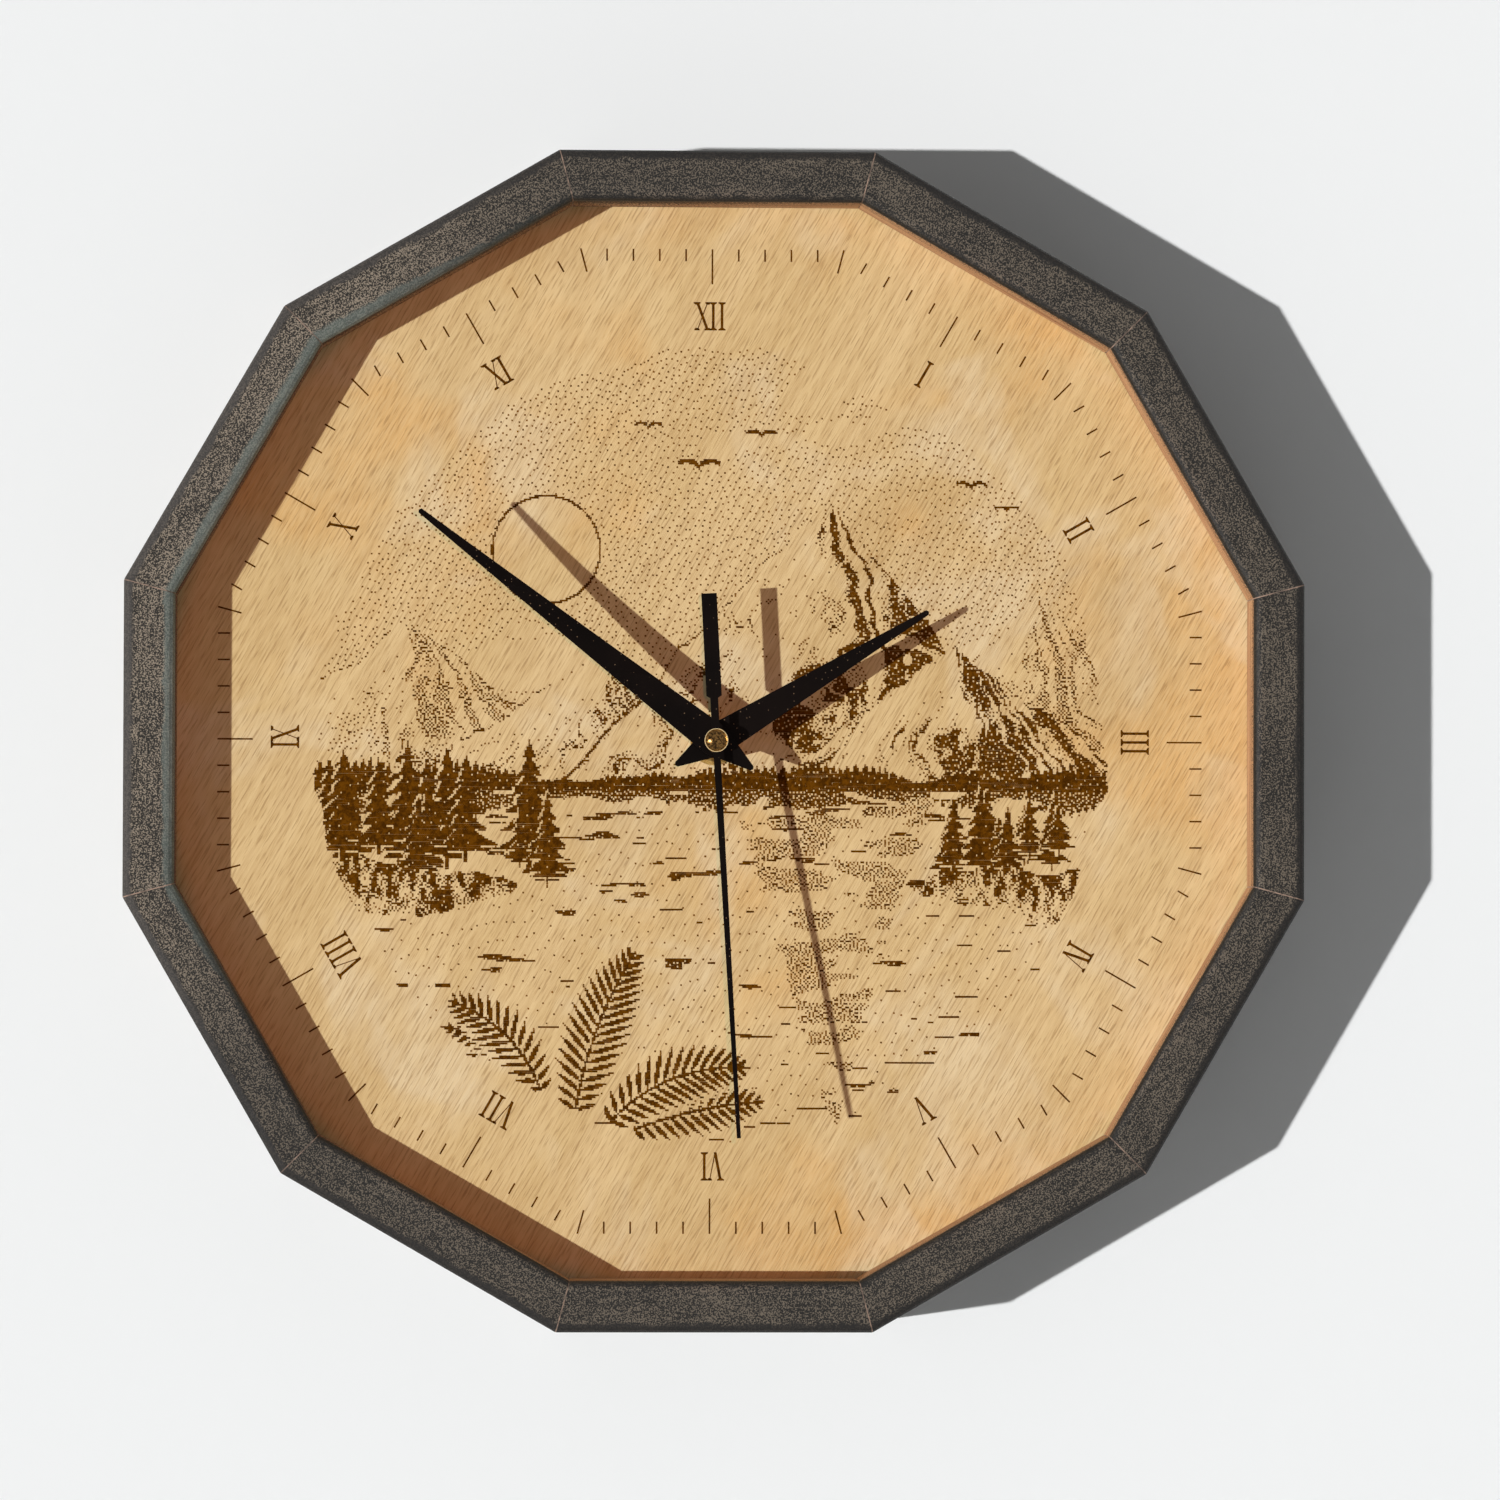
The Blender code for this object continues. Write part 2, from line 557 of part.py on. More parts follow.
def make_cover():
    lip = COVER_LEDGE - SEAT
    rim = CASE_INSIDE + lip
    outline = rectangle(-rim, rim, DIVIDER_TOP - lip, rim, CASE_CORNER - CASE_WALL + lip, 0)
    cover = flat("movement_cover", [outline], CASE_BACK, COVER_FRONT, material=CASE_PLASTIC)
    wall = 0.0008
    well = turned("knob_well", [(0, WELL_FLOOR_FRONT), (WELL_RADIUS + wall, WELL_FLOOR_FRONT),
                                (WELL_RADIUS + wall, CASE_BACK + COVER_THICKNESS / 2),
                                (0, CASE_BACK + COVER_THICKNESS / 2)], SETTING_AXIS, helper=True)
    combine(cover, well, 'UNION')
    hollow = rods("knob_hollow", [(SETTING_AXIS, WELL_RADIUS, CASE_BACK - 0.001, WELL_FLOOR_BACK)], 32)
    combine(cover, hollow, 'DIFFERENCE')
    hole = rods("knob_hole", [(SETTING_AXIS, SETTING_ARBOR_RADIUS + RUN,
                               WELL_FLOOR_BACK - 0.001, WELL_FLOOR_FRONT + 0.001)])
    combine(cover, hole, 'DIFFERENCE')
    for number, (side, y) in enumerate(LUG_PLACES, 1):
        root, end = side * (rim - LUG_REACH), side * (rim + LUG_REACH)
        lug = block(f"cover_lug_{number}", (min(root, end), y - LUG_WIDTH / 2, LUG_FRONT - LUG_THICKNESS),
                    (max(root, end), y + LUG_WIDTH / 2, LUG_FRONT))
        combine(cover, lug, 'UNION')


def make_bridge():
    left, right = -PILLAR_X - 0.0025, PILLAR_X + 0.0025
    low, high = DIVIDER_TOP + 0.0011, ROTOR_AXIS[1] + 0.0025
    holes = [circle(ARBOR_RADIUS + RUN, 12, axis) for axis in (THIRD_AXIS, INTERMEDIATE_AXIS, ROTOR_AXIS)]
    holes.append(circle(SECOND_ARBOR_RADIUS + RUN, 12))
    holes.append(circle(SETTING_ARBOR_RADIUS + RUN, 16, SETTING_AXIS))
    holes += [circle(PEG_RADIUS + RUN, 16, axis) for axis in PILLARS]
    flat("train_bridge", [rectangle(left, right, low, high, 0.0022)] + holes,
         BRIDGE_BACK, BRIDGE_BACK + BRIDGE_THICKNESS, material=WHEEL_PLASTIC)


# What passes through the dial, and what the bush clamps
def make_fixing():
    chamfer = 0.0004
    collar_top = CASE_FLOOR + COLLAR_THICKNESS
    turned("threaded_bush", [(BUSH_BORE, BUSH_FRONT), (BUSH_RADIUS - chamfer, BUSH_FRONT),
                             (BUSH_RADIUS, BUSH_FRONT - chamfer), (BUSH_RADIUS, collar_top),
                             (BUSH_COLLAR, collar_top), (BUSH_COLLAR, CASE_FLOOR),
                             (BUSH_BORE, CASE_FLOOR), (BUSH_BORE, BUSH_FRONT)], material=BRASS)
    bore = BUSH_RADIUS + RUN
    turned("rubber_washer", ring_profile(RUBBER_RADIUS, bore, 0, RUBBER_THICKNESS), z=RUBBER_BACK,
           material=RUBBER)
    turned("brass_washer", ring_profile(WASHER_RADIUS, bore, 0, WASHER_THICKNESS), z=BRASS_BACK,
           material=BRASS)
    nut = flat("hex_nut", [circle(NUT_ACROSS_FLATS / 2 / math.cos(math.pi / 6), 6, start=math.pi / 6),
                           circle(bore)], NUT_BACK, NUT_BACK + NUT_THICKNESS, material=BRASS)
    # Both faces of the nut are turned back to a cone, which leaves its corners rounded off.
    crown = NUT_ACROSS_FLATS / 2
    slope = 0.0006
    cone = turned("nut_crown", [(0, NUT_THICKNESS + 0.0001), (crown - 0.0001, NUT_THICKNESS + 0.0001),
                                (crown + slope * 1.6, NUT_THICKNESS - slope), (crown + slope * 1.6, slope),
                                (crown - 0.0001, -0.0001), (0, -0.0001)], z=NUT_BACK, helper=True)
    combine(nut, cone, 'INTERSECT')


def make_hanger():
    half = CASE_WIDTH / 2
    front = HANGER_BACK + HANGER_THICKNESS / 2
    shelf = half + LOOSE + HANGER_THICKNESS / 2
    tab = CASE_BACK + HANGER_THICKNESS
    top = half + HANGER_RISE
    bottom = -RUBBER_RADIUS
    bend = 0.0014
    path = rounded([(bottom, front), (shelf, front), (shelf, tab), (top, tab)], bend, 3, closed=False)
    sheet = HANGER_WIDTH + 0.002
    mesh = prism_mesh("hanger_plate", [strip(path, HANGER_THICKNESS)], sheet)
    # The strip was drawn as (height up the dial, height out from the wall), and its run becomes bench X.
    mesh.transform(Matrix(((0, 0, 1, -sheet / 2), (1, 0, 0, 0), (0, 1, 0, 0), (0, 0, 0, 1))))
    hanger = place("hanger_plate", mesh, material=STEEL)
    wide = HANGER_WIDTH / 2
    head_y = top - HANGER_RISE * 0.55
    slot_y = top - NAIL_SLOT - 0.003
    neck = math.asin(NAIL_SLOT / NAIL_HEAD_HOLE)
    keyhole = [(NAIL_HEAD_HOLE * math.sin(angle), head_y + NAIL_HEAD_HOLE * math.cos(angle))
               for angle in (neck + (math.tau - 2 * neck) * i / 16 for i in range(17))]
    keyhole += [(-NAIL_SLOT * math.cos(math.pi * i / 8), slot_y + NAIL_SLOT * math.sin(math.pi * i / 8))
                for i in range(9)]
    blank = flat("hanger_blank", [rectangle(-wide, wide, bottom + RUN, top - RUN, 0.005),
                                  circle(BUSH_RADIUS + RUN), keyhole],
                 CASE_BACK - 0.001, CASE_FRONT + 0.002, helper=True)
    combine(hanger, blank, 'INTERSECT')


# Teeth
def involute(angle):
    return math.tan(angle) - angle


def gear(teeth, module, tooth_at=0.0):
    """A toothed outline with involute flanks and one tooth centred at an angle from the X axis."""
    pitch = module * teeth / 2
    base = pitch * math.cos(PRESSURE_ANGLE)
    half_tooth = TOOTH_SHARE * math.pi / (2 * teeth) + involute(PRESSURE_ANGLE)
    flank = [pitch - DEDENDUM * module, pitch + ADDENDUM * module]
    if teeth < 20:
        flank.insert(1, pitch)
    sides = [(radius, half_tooth - involute(math.acos(min(1, base / radius)))) for radius in flank]
    points = []
    for tooth in range(teeth):
        middle = tooth_at + math.tau * tooth / teeth
        for radius, half in sides:
            points.append((radius * math.cos(middle - half), radius * math.sin(middle - half)))
        for radius, half in reversed(sides):
            points.append((radius * math.cos(middle + half), radius * math.sin(middle + half)))
    return points


def line_angle(start, end):
    return math.atan2(end[1] - start[1], end[0] - start[0])


def facing_gap(teeth, start, end):
    """The tooth angle that puts a gap, not a tooth, on the line from start to end."""
    return line_angle(start, end) + math.pi / teeth


def windows(teeth, module, hub):
    """Round windows that lighten a wheel, between its hub and the roots of its teeth."""
    root = module * (teeth / 2 - DEDENDUM)
    ring = (hub + root) / 2
    radius = (root - hub) / 2 - WHEEL_WEB
    return [circle(radius, 12, toward(360 * i / WHEEL_WINDOWS, ring)) for i in range(WHEEL_WINDOWS)]


def pinion_rim(teeth, module):
    return module * (teeth / 2 + ADDENDUM)


def wheel(name, axis, plates, rod=None, bore=None, holes=(), material=WHEEL_PLASTIC):
    """Toothed plates (outline, back, front) on one axis, with a rod through them, a bore, and windows
    through the first plate."""
    outline, back, front = plates[0]
    made = flat(name, [outline, *holes], back, front, axis, material)
    for number, (outline, back, front) in enumerate(plates[1:], 1):
        combine(made, flat(f"{name}_plate_{number}", [outline], back, front, axis, helper=True), 'UNION')
    if rod:
        for number, (radius, back, front) in enumerate(rod):
            combine(made, rods(f"{name}_rod_{number}", [(axis, radius, back, front)]), 'UNION')
    if bore:
        radius, back, front = bore
        combine(made, rods(f"{name}_bore", [(axis, radius, back - 0.001, front + 0.001)]), 'DIFFERENCE')
    return made


def make_train():
    bite, tall = PINION_BITE, WHEEL_THICKNESS
    rotor_pinion = gear(ROTOR_PINION_TEETH, TRAIN_MODULE,
                        facing_gap(ROTOR_PINION_TEETH, ROTOR_AXIS, INTERMEDIATE_AXIS))
    wheel("rotor_pinion", ROTOR_AXIS, [(rotor_pinion, INTERMEDIATE_LAYER, INTERMEDIATE_LAYER + tall)],
          rod=[(ARBOR_RADIUS, ARBOR_BACK, PIVOT_END)])
    magnet_middle = (STATOR_FRONT + STATOR_BACK) / 2
    turned("rotor_magnet", ring_profile(MAGNET_RADIUS, ARBOR_RADIUS + RUN, -MAGNET_LENGTH / 2,
                                        MAGNET_LENGTH / 2), ROTOR_AXIS, magnet_middle, FERRITE, steps=20)

    intermediate = gear(INTERMEDIATE_TEETH, TRAIN_MODULE, line_angle(INTERMEDIATE_AXIS, ROTOR_AXIS))
    intermediate_pinion = gear(INTERMEDIATE_PINION_TEETH, SECOND_MODULE,
                               facing_gap(INTERMEDIATE_PINION_TEETH, INTERMEDIATE_AXIS, CENTRE_AXIS))
    wheel("intermediate_wheel", INTERMEDIATE_AXIS,
          [(intermediate, INTERMEDIATE_LAYER, INTERMEDIATE_LAYER + tall),
           (intermediate_pinion, SECOND_LAYER - bite, SECOND_LAYER + tall)],
          rod=[(ARBOR_RADIUS, ARBOR_BACK, PIVOT_END)],
          holes=windows(INTERMEDIATE_TEETH, TRAIN_MODULE, pinion_rim(INTERMEDIATE_PINION_TEETH, SECOND_MODULE)))

    second = gear(SECOND_TEETH, SECOND_MODULE, line_angle(CENTRE_AXIS, INTERMEDIATE_AXIS))
    second_pinion = gear(SECOND_PINION_TEETH, TRAIN_MODULE,
                         facing_gap(SECOND_PINION_TEETH, CENTRE_AXIS, THIRD_AXIS))
    wheel("second_wheel", CENTRE_AXIS,
          [(second, SECOND_LAYER, SECOND_LAYER + tall),
           (second_pinion, THIRD_LAYER - bite, THIRD_LAYER + tall)],
          rod=[(SECOND_ARBOR_RADIUS, ARBOR_BACK, SECOND_ARBOR_FRONT)],
          holes=windows(SECOND_TEETH, SECOND_MODULE, pinion_rim(SECOND_PINION_TEETH, TRAIN_MODULE)))

    third = gear(THIRD_TEETH, TRAIN_MODULE, line_angle(THIRD_AXIS, CENTRE_AXIS))
    third_pinion = gear(THIRD_PINION_TEETH, CENTRE_MODULE,
                        facing_gap(THIRD_PINION_TEETH, THIRD_AXIS, CENTRE_AXIS))
    wheel("third_wheel", THIRD_AXIS,
          [(third, THIRD_LAYER, THIRD_LAYER + tall), (third_pinion, CENTRE_LAYER - bite, CENTRE_LAYER + tall)],
          rod=[(ARBOR_RADIUS, ARBOR_BACK, PIVOT_END)],
          holes=windows(THIRD_TEETH, TRAIN_MODULE, pinion_rim(THIRD_PINION_TEETH, CENTRE_MODULE)))

    centre = gear(CENTRE_TEETH, CENTRE_MODULE, line_angle(CENTRE_AXIS, THIRD_AXIS))
    wheel("centre_wheel", CENTRE_AXIS, [(centre, CENTRE_LAYER, CENTRE_LAYER + tall)],
          bore=(CLUTCH_RADIUS + RUN / 2, CENTRE_LAYER, CENTRE_LAYER + tall),
          holes=windows(CENTRE_TEETH, CENTRE_MODULE, pinion_rim(CANNON_TEETH, MOTION_MODULE)))


def make_motion_work():
    tall = WHEEL_THICKNESS
    cannon = gear(CANNON_TEETH, MOTION_MODULE, facing_gap(CANNON_TEETH, CENTRE_AXIS, MOTION_AXIS))
    wheel("cannon_pinion", CENTRE_AXIS, [(cannon, MINUTE_LAYER, MINUTE_LAYER + tall + LAYER_GAP / 2)],
          rod=[(MINUTE_TUBE_RADIUS, MINUTE_LAYER + tall, MINUTE_TUBE_FRONT),
               (CLUTCH_RADIUS, CENTRE_LAYER - LAYER_GAP / 2, MINUTE_LAYER + tall / 2)],
          bore=(MINUTE_BORE, CENTRE_LAYER, MINUTE_TUBE_FRONT))

    minute = gear(MINUTE_TEETH, MOTION_MODULE, line_angle(MOTION_AXIS, CENTRE_AXIS))
    minute_pinion = gear(MINUTE_PINION_TEETH, HOUR_MODULE, line_angle(MOTION_AXIS, CENTRE_AXIS))
    wheel("minute_wheel", MOTION_AXIS,
          [(minute, MINUTE_LAYER, MINUTE_LAYER + tall),
           (minute_pinion, HOUR_LAYER - PINION_BITE, HOUR_LAYER + tall)],
          bore=(MOTION_POST_RADIUS + RUN, MINUTE_LAYER, HOUR_LAYER + tall),
          holes=windows(MINUTE_TEETH, MOTION_MODULE, pinion_rim(MINUTE_PINION_TEETH, HOUR_MODULE)))

    hour = gear(HOUR_TEETH, HOUR_MODULE, facing_gap(HOUR_TEETH, CENTRE_AXIS, MOTION_AXIS))
    wheel("hour_wheel", CENTRE_AXIS, [(hour, HOUR_LAYER, HOUR_LAYER + tall)],
          rod=[(HOUR_TUBE_RADIUS, HOUR_LAYER + tall / 2, HOUR_TUBE_FRONT)],
          bore=(HOUR_BORE, HOUR_LAYER, HOUR_TUBE_FRONT),
          holes=windows(HOUR_TEETH, HOUR_MODULE, HOUR_TUBE_RADIUS))

    setting = gear(SETTING_TEETH, MOTION_MODULE, facing_gap(SETTING_TEETH, SETTING_AXIS, MOTION_AXIS))
    wheel("setting_pinion", SETTING_AXIS, [(setting, MINUTE_LAYER, MINUTE_LAYER + tall)],
          rod=[(SETTING_ARBOR_RADIUS, KNOB_BACK + RUN, PIVOT_END)])
    ribs = []
    for step in range(KNOB_RIBS * 2):
        radius = KNOB_RADIUS + (RIB_HEIGHT if step % 2 else 0)
        angle = math.tau * step / (KNOB_RIBS * 2)
        ribs.append((radius * math.cos(angle), radius * math.sin(angle)))
    flat("setting_knob", [ribs, circle(SETTING_ARBOR_RADIUS + RUN, 16)], KNOB_BACK, KNOB_FRONT,
         SETTING_AXIS, CASE_PLASTIC)


# Stepping motor and electronics
def make_motor():
    x, y = ROTOR_AXIS
    low, high = y - STATOR_BAR / 2, y + STATOR_BAR / 2
    chord = math.asin(STATOR_BAR / 2 / STATOR_RIM)
    under = [(x + STATOR_RIM * math.cos(a), y + STATOR_RIM * math.sin(a))
             for a in (-chord - (math.pi - 2 * chord) * i / 8 for i in range(9))]
    over = [(2 * x - px, 2 * y - py) for px, py in under]
    left, right = LEFT_ARM_X - ARM_WIDTH / 2, RIGHT_ARM_X + ARM_WIDTH / 2
    top = COIL_Y + ARM_WIDTH / 2
    outline = [(right, low)] + under + [(left, low), (left, top), (left + ARM_WIDTH, top),
                                        (left + ARM_WIDTH, high)]
    outline += over + [(right - ARM_WIDTH, high), (right - ARM_WIDTH, top), (right, top)]
    holes = [circle(STATOR_BORE, 24, ROTOR_AXIS)]
    holes += [circle(SCREW_RADIUS + RUN, 12, axis) for axis in CORE_SCREWS]
    flat("stator", [outline] + holes, STATOR_BACK, STATOR_FRONT, material=IRON)

    bar = rectangle(left + LOOSE, right - LOOSE, COIL_Y - CORE_WIDTH / 2, COIL_Y + CORE_WIDTH / 2, 0.0006)
    flat("coil_core", [bar] + [circle(SCREW_RADIUS + RUN, 12, axis) for axis in CORE_SCREWS],
         CORE_BACK, CORE_FRONT, material=IRON)

    middle = (LEFT_ARM_X + RIGHT_ARM_X) / 2
    half = COIL_LENGTH / 2
    cheek = 0.0008
    former = turned("coil_former", [(0, half), (COIL_FLANGE, half), (COIL_FLANGE, half - cheek),
                                    (FORMER_RADIUS, half - cheek), (FORMER_RADIUS, cheek - half),
                                    (COIL_FLANGE, cheek - half), (COIL_FLANGE, -half), (0, -half)],
                    (middle, COIL_Y), COIL_Z, WHEEL_PLASTIC, steps=20)
    winding = turned("coil_winding", ring_profile(COIL_RADIUS, FORMER_RADIUS + RUN, cheek + SEAT - half,
                                                  half - cheek - SEAT),
                     (middle, COIL_Y), COIL_Z, COPPER, steps=20)
    for piece in (former, winding):
        piece.rotation_euler = (0, math.pi / 2, 0)
    gap = RUN
    tunnel = block("core_tunnel", (middle - COIL_LENGTH, COIL_Y - CORE_WIDTH / 2 - gap, CORE_BACK - gap),
                   (middle + COIL_LENGTH, COIL_Y + CORE_WIDTH / 2 + gap, CORE_FRONT + gap))
    combine(former, tunnel, 'DIFFERENCE')

    head = CORE_BACK - SEAT
    end = CASE_FLOOR - LOOSE
    shank = [(0, end), (SCREW_RADIUS, end), (SCREW_RADIUS, head), (SCREW_HEAD_RADIUS, head),
             (SCREW_HEAD_RADIUS, head - SCREW_HEAD_HEIGHT * 0.6),
             (SCREW_HEAD_RADIUS * 0.7, head - SCREW_HEAD_HEIGHT), (0, head - SCREW_HEAD_HEIGHT)]
    for number, axis in enumerate(CORE_SCREWS, 1):
        turned(f"core_screw_{number}", shank, axis, material=STEEL, steps=12)


def make_board():
    left = SETTING_AXIS[0] + WELL_RADIUS + 0.002
    right = CASE_INSIDE - LOOSE
    low, high = board_bottom(), ROTOR_AXIS[1]
    notch = 0.004
    outline = [(left, low), (right, low), (right, high), (left + notch, high), (left, high - notch)]
    flat("circuit_board", [outline], BOARD_BACK, BOARD_BACK + BOARD_THICKNESS, material=BOARD_LACQUER)
    blob_height = 0.001
    blob_radius = 0.0032
    dome = [(blob_radius * math.sin(math.pi / 2 * i / 4), -blob_height * math.cos(math.pi / 2 * i / 4))
            for i in range(5)]
    turned("clock_chip", [(0, 0)] + dome[::-1], ((left + right) / 2 - 0.004, 0.002), BOARD_BACK - RUN,
           RUBBER, steps=16)
    can_radius = 0.00075
    can_length = 0.005
    can = turned("quartz_crystal", [(0, can_length), (can_radius * 0.7, can_length),
                                    (can_radius, can_length - 0.0003), (can_radius, 0), (0, 0)],
                 ((left + right) / 2 + 0.004, 0.003), BOARD_BACK - RUN - can_radius, STEEL, steps=12)
    can.rotation_euler = (-math.pi / 2, 0, 0)


def board_bottom():
    return DIVIDER_TOP + SEAT + CONTACT_THICKNESS + SEAT


# Battery and its two contact strips
def make_battery():
    half = BATTERY_LENGTH / 2
    shoulder = half - BUTTON_LENGTH
    soft = 0.0008
    cell = turned("battery", [(0, half), (BUTTON_RADIUS, half), (BUTTON_RADIUS, shoulder),
                              (BATTERY_RADIUS - soft, shoulder), (BATTERY_RADIUS, shoulder - soft),
                              (BATTERY_RADIUS, soft - half), (BATTERY_RADIUS - soft, -half), (0, -half)],
                  (0, BATTERY_AXIS_Y), BATTERY_AXIS_Z, CELL_JACKET)
    cell.rotation_euler = (0, -math.pi / 2, 0)
    wall = CASE_INSIDE - SEAT - CONTACT_THICKNESS / 2
    shelf = DIVIDER_TOP + SEAT + CONTACT_THICKNESS / 2
    foot = BATTERY_AXIS_Y - BATTERY_RADIUS * 0.7
    bulge = BATTERY_LENGTH / 2 + SEAT + CONTACT_THICKNESS / 2
    board_left = SETTING_AXIS[0] + WELL_RADIUS + 0.002
    for name, side, end in (("contact_positive", -1, board_left + 0.003), ("contact_negative", 1,
                                                                           CASE_INSIDE - 0.006)):
        path = [(side * wall, foot), (side * wall, BATTERY_AXIS_Y - 0.003), (side * bulge, BATTERY_AXIS_Y),
                (side * wall, BATTERY_AXIS_Y + 0.003), (side * wall, shelf), (end, shelf)]
        flat(name, [strip(path, CONTACT_THICKNESS)], STRIP_BACK, STRIP_FRONT, material=STEEL)


# Hands, drawn pointing at twelve and turned to the time
def kite(length):
    return rounded([(0, length), (HAND_TIP_HALF_WIDTH, length - 0.0004), (HAND_HALF_WIDTH, 0.0),
                    (HAND_TIP_HALF_WIDTH, -HAND_TAIL + 0.0004), (0, -HAND_TAIL),
                    (-HAND_TIP_HALF_WIDTH, -HAND_TAIL + 0.0004), (-HAND_HALF_WIDTH, 0.0),
                    (-HAND_TIP_HALF_WIDTH, length - 0.0004)], [0, 0, 0.004, 0, 0, 0, 0.004, 0], 2)


def sprung(made, length, rise, curve):
    """Springs the pointing end of a flat hand forward, from the end of its flat part to its tip.

    The hand is cut across at even stations first, so that it bends there and each facet stays flat.
    """
    stations = 10
    reach = length - HAND_FLAT
    solid = bmesh.new()
    solid.from_mesh(made.data)
    for station in range(stations):
        everything = solid.verts[:] + solid.edges[:] + solid.faces[:]
        bmesh.ops.bisect_plane(solid, geom=everything, plane_no=(0, 1, 0),
                               plane_co=(0, HAND_FLAT + reach * station / stations, 0))
    for vert in solid.verts:
        share = max(0.0, vert.co.y - HAND_FLAT) / reach
        vert.co.z += rise * share ** curve
    bmesh.ops.triangulate(solid, faces=solid.faces)
    solid.to_mesh(made.data)
    solid.free()


def hand(name, outline, hole, wall, back, gap, angle, length, rise=0.0, curve=1.0):
    """A stamped hand with a collar behind its hub, bored for its tube and turned to its place."""
    made = flat(name, [outline], back, back + HAND_THICKNESS, material=HAND_PAINT)
    if rise:
        sprung(made, length, rise, curve)
    collar_back = back - gap * COLLAR_SHARE
    combine(made, rods(f"{name}_collar", [(CENTRE_AXIS, hole + wall, collar_back,
                                           back + HAND_THICKNESS / 2)], 20), 'UNION')
    bore = rods(f"{name}_hole", [(CENTRE_AXIS, hole, collar_back - 0.001, back + 0.001)], 20)
    combine(made, bore, 'DIFFERENCE')
    made.rotation_euler.z = -math.radians(angle)
    return made


def make_hands():
    hand("hour_hand", kite(HOUR_LENGTH), HOUR_TUBE_RADIUS + RUN, HAND_COLLAR_WALL, HOUR_HAND_BACK, HOUR_GAP,
         HOUR_ANGLE, HOUR_LENGTH)
    hand("minute_hand", kite(MINUTE_LENGTH), MINUTE_TUBE_RADIUS + RUN, HAND_COLLAR_WALL, MINUTE_HAND_BACK,
         MINUTE_GAP, MINUTE_ANGLE, MINUTE_LENGTH, MINUTE_RISE, MINUTE_CURVE)
    needle = [(SECOND_TIP_HALF_WIDTH, SECOND_LENGTH), (SECOND_HALF_WIDTH, SECOND_HUB * 0.9)]
    hub = [(SECOND_HUB * math.cos(a), SECOND_HUB * math.sin(a))
           for a in (math.radians(55 - 110 * i / 6) for i in range(7))]
    neck = SECOND_HALF_WIDTH + 0.0001
    slope = 0.0006
    bar = COUNTERWEIGHT_HALF_WIDTH
    tail = [(neck, -SECOND_HUB * 0.9), (neck, -COUNTERWEIGHT_START + slope), (bar, -COUNTERWEIGHT_START),
            (bar, -COUNTERWEIGHT_END)]
    right = needle + hub + tail
    outline = right + [(-x, y) for x, y in reversed(right)]
    hole = SECOND_ARBOR_RADIUS + RUN
    hand("second_hand", outline, hole, HAND_COLLAR_WALL / 2, SECOND_HAND_BACK, SECOND_GAP, SECOND_ANGLE,
         SECOND_LENGTH, SECOND_RISE, SECOND_CURVE)
    rim = CAP_HEIGHT / 4
    dome = [(CAP_RADIUS * math.sin(math.pi / 2 * i / 6),
             rim + (CAP_HEIGHT - rim) * math.cos(math.pi / 2 * i / 6)) for i in range(7)]
    socket = SECOND_ARBOR_FRONT - CAP_BACK + RUN
    turned("second_hand_cap", dome + [(CAP_RADIUS, 0), (hole, 0), (hole, socket), (0, socket)],
           z=CAP_BACK, material=BRASS, steps=32)


make_frame()
make_dial()
make_case()
make_cover()
make_bridge()
make_fixing()
make_hanger()
make_train()
make_motion_work()
make_motor()
make_board()
make_battery()
make_hands()
bpy.context.view_layer.update()
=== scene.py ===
# %% [markdown]
# A wooden wall clock: twelve mitred staves round a plywood dial, three black hands, and a battery movement
# behind it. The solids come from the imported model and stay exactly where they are. This lesson dresses them:
# it hangs the clock on a pale wall, lights it, and gives every piece its finish, its burnt marks and its
# small turned parts. Everything is in metres, X to the right, Z up, and the front looks along -Y.

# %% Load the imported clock
import math
import bpy
import bmesh
import numpy as np
from mathutils import Matrix, Vector


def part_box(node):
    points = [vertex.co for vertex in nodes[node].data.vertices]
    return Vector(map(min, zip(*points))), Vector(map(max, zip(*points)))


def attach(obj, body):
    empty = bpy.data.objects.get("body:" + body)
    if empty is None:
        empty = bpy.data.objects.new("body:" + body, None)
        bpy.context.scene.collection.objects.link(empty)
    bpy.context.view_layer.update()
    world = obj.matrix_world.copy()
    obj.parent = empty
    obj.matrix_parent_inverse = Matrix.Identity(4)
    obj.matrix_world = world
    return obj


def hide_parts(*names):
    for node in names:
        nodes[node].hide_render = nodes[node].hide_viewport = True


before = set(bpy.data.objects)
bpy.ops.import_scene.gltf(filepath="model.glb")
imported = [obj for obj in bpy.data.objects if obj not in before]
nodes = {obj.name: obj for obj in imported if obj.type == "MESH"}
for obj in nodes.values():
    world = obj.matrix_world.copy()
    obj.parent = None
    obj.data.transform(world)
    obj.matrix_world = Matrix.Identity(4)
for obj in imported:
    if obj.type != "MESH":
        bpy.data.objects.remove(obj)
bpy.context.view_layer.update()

# %% [markdown]
# The camera stands a little to the left of the clock and below it, looking slightly right and up, about
# 1.8 m away with a long lens. It could be aimed with a Track To constraint, but a constraint has no roll, so
# three turns in order (yaw, pitch, roll) place it here.

# %% Camera
CAMERA_PLACE = Vector((-0.0692, -1.840, -0.0451))
CAMERA_YAW, CAMERA_PITCH, CAMERA_ROLL = -2.48, 1.36, -0.17
LENS = 170.2

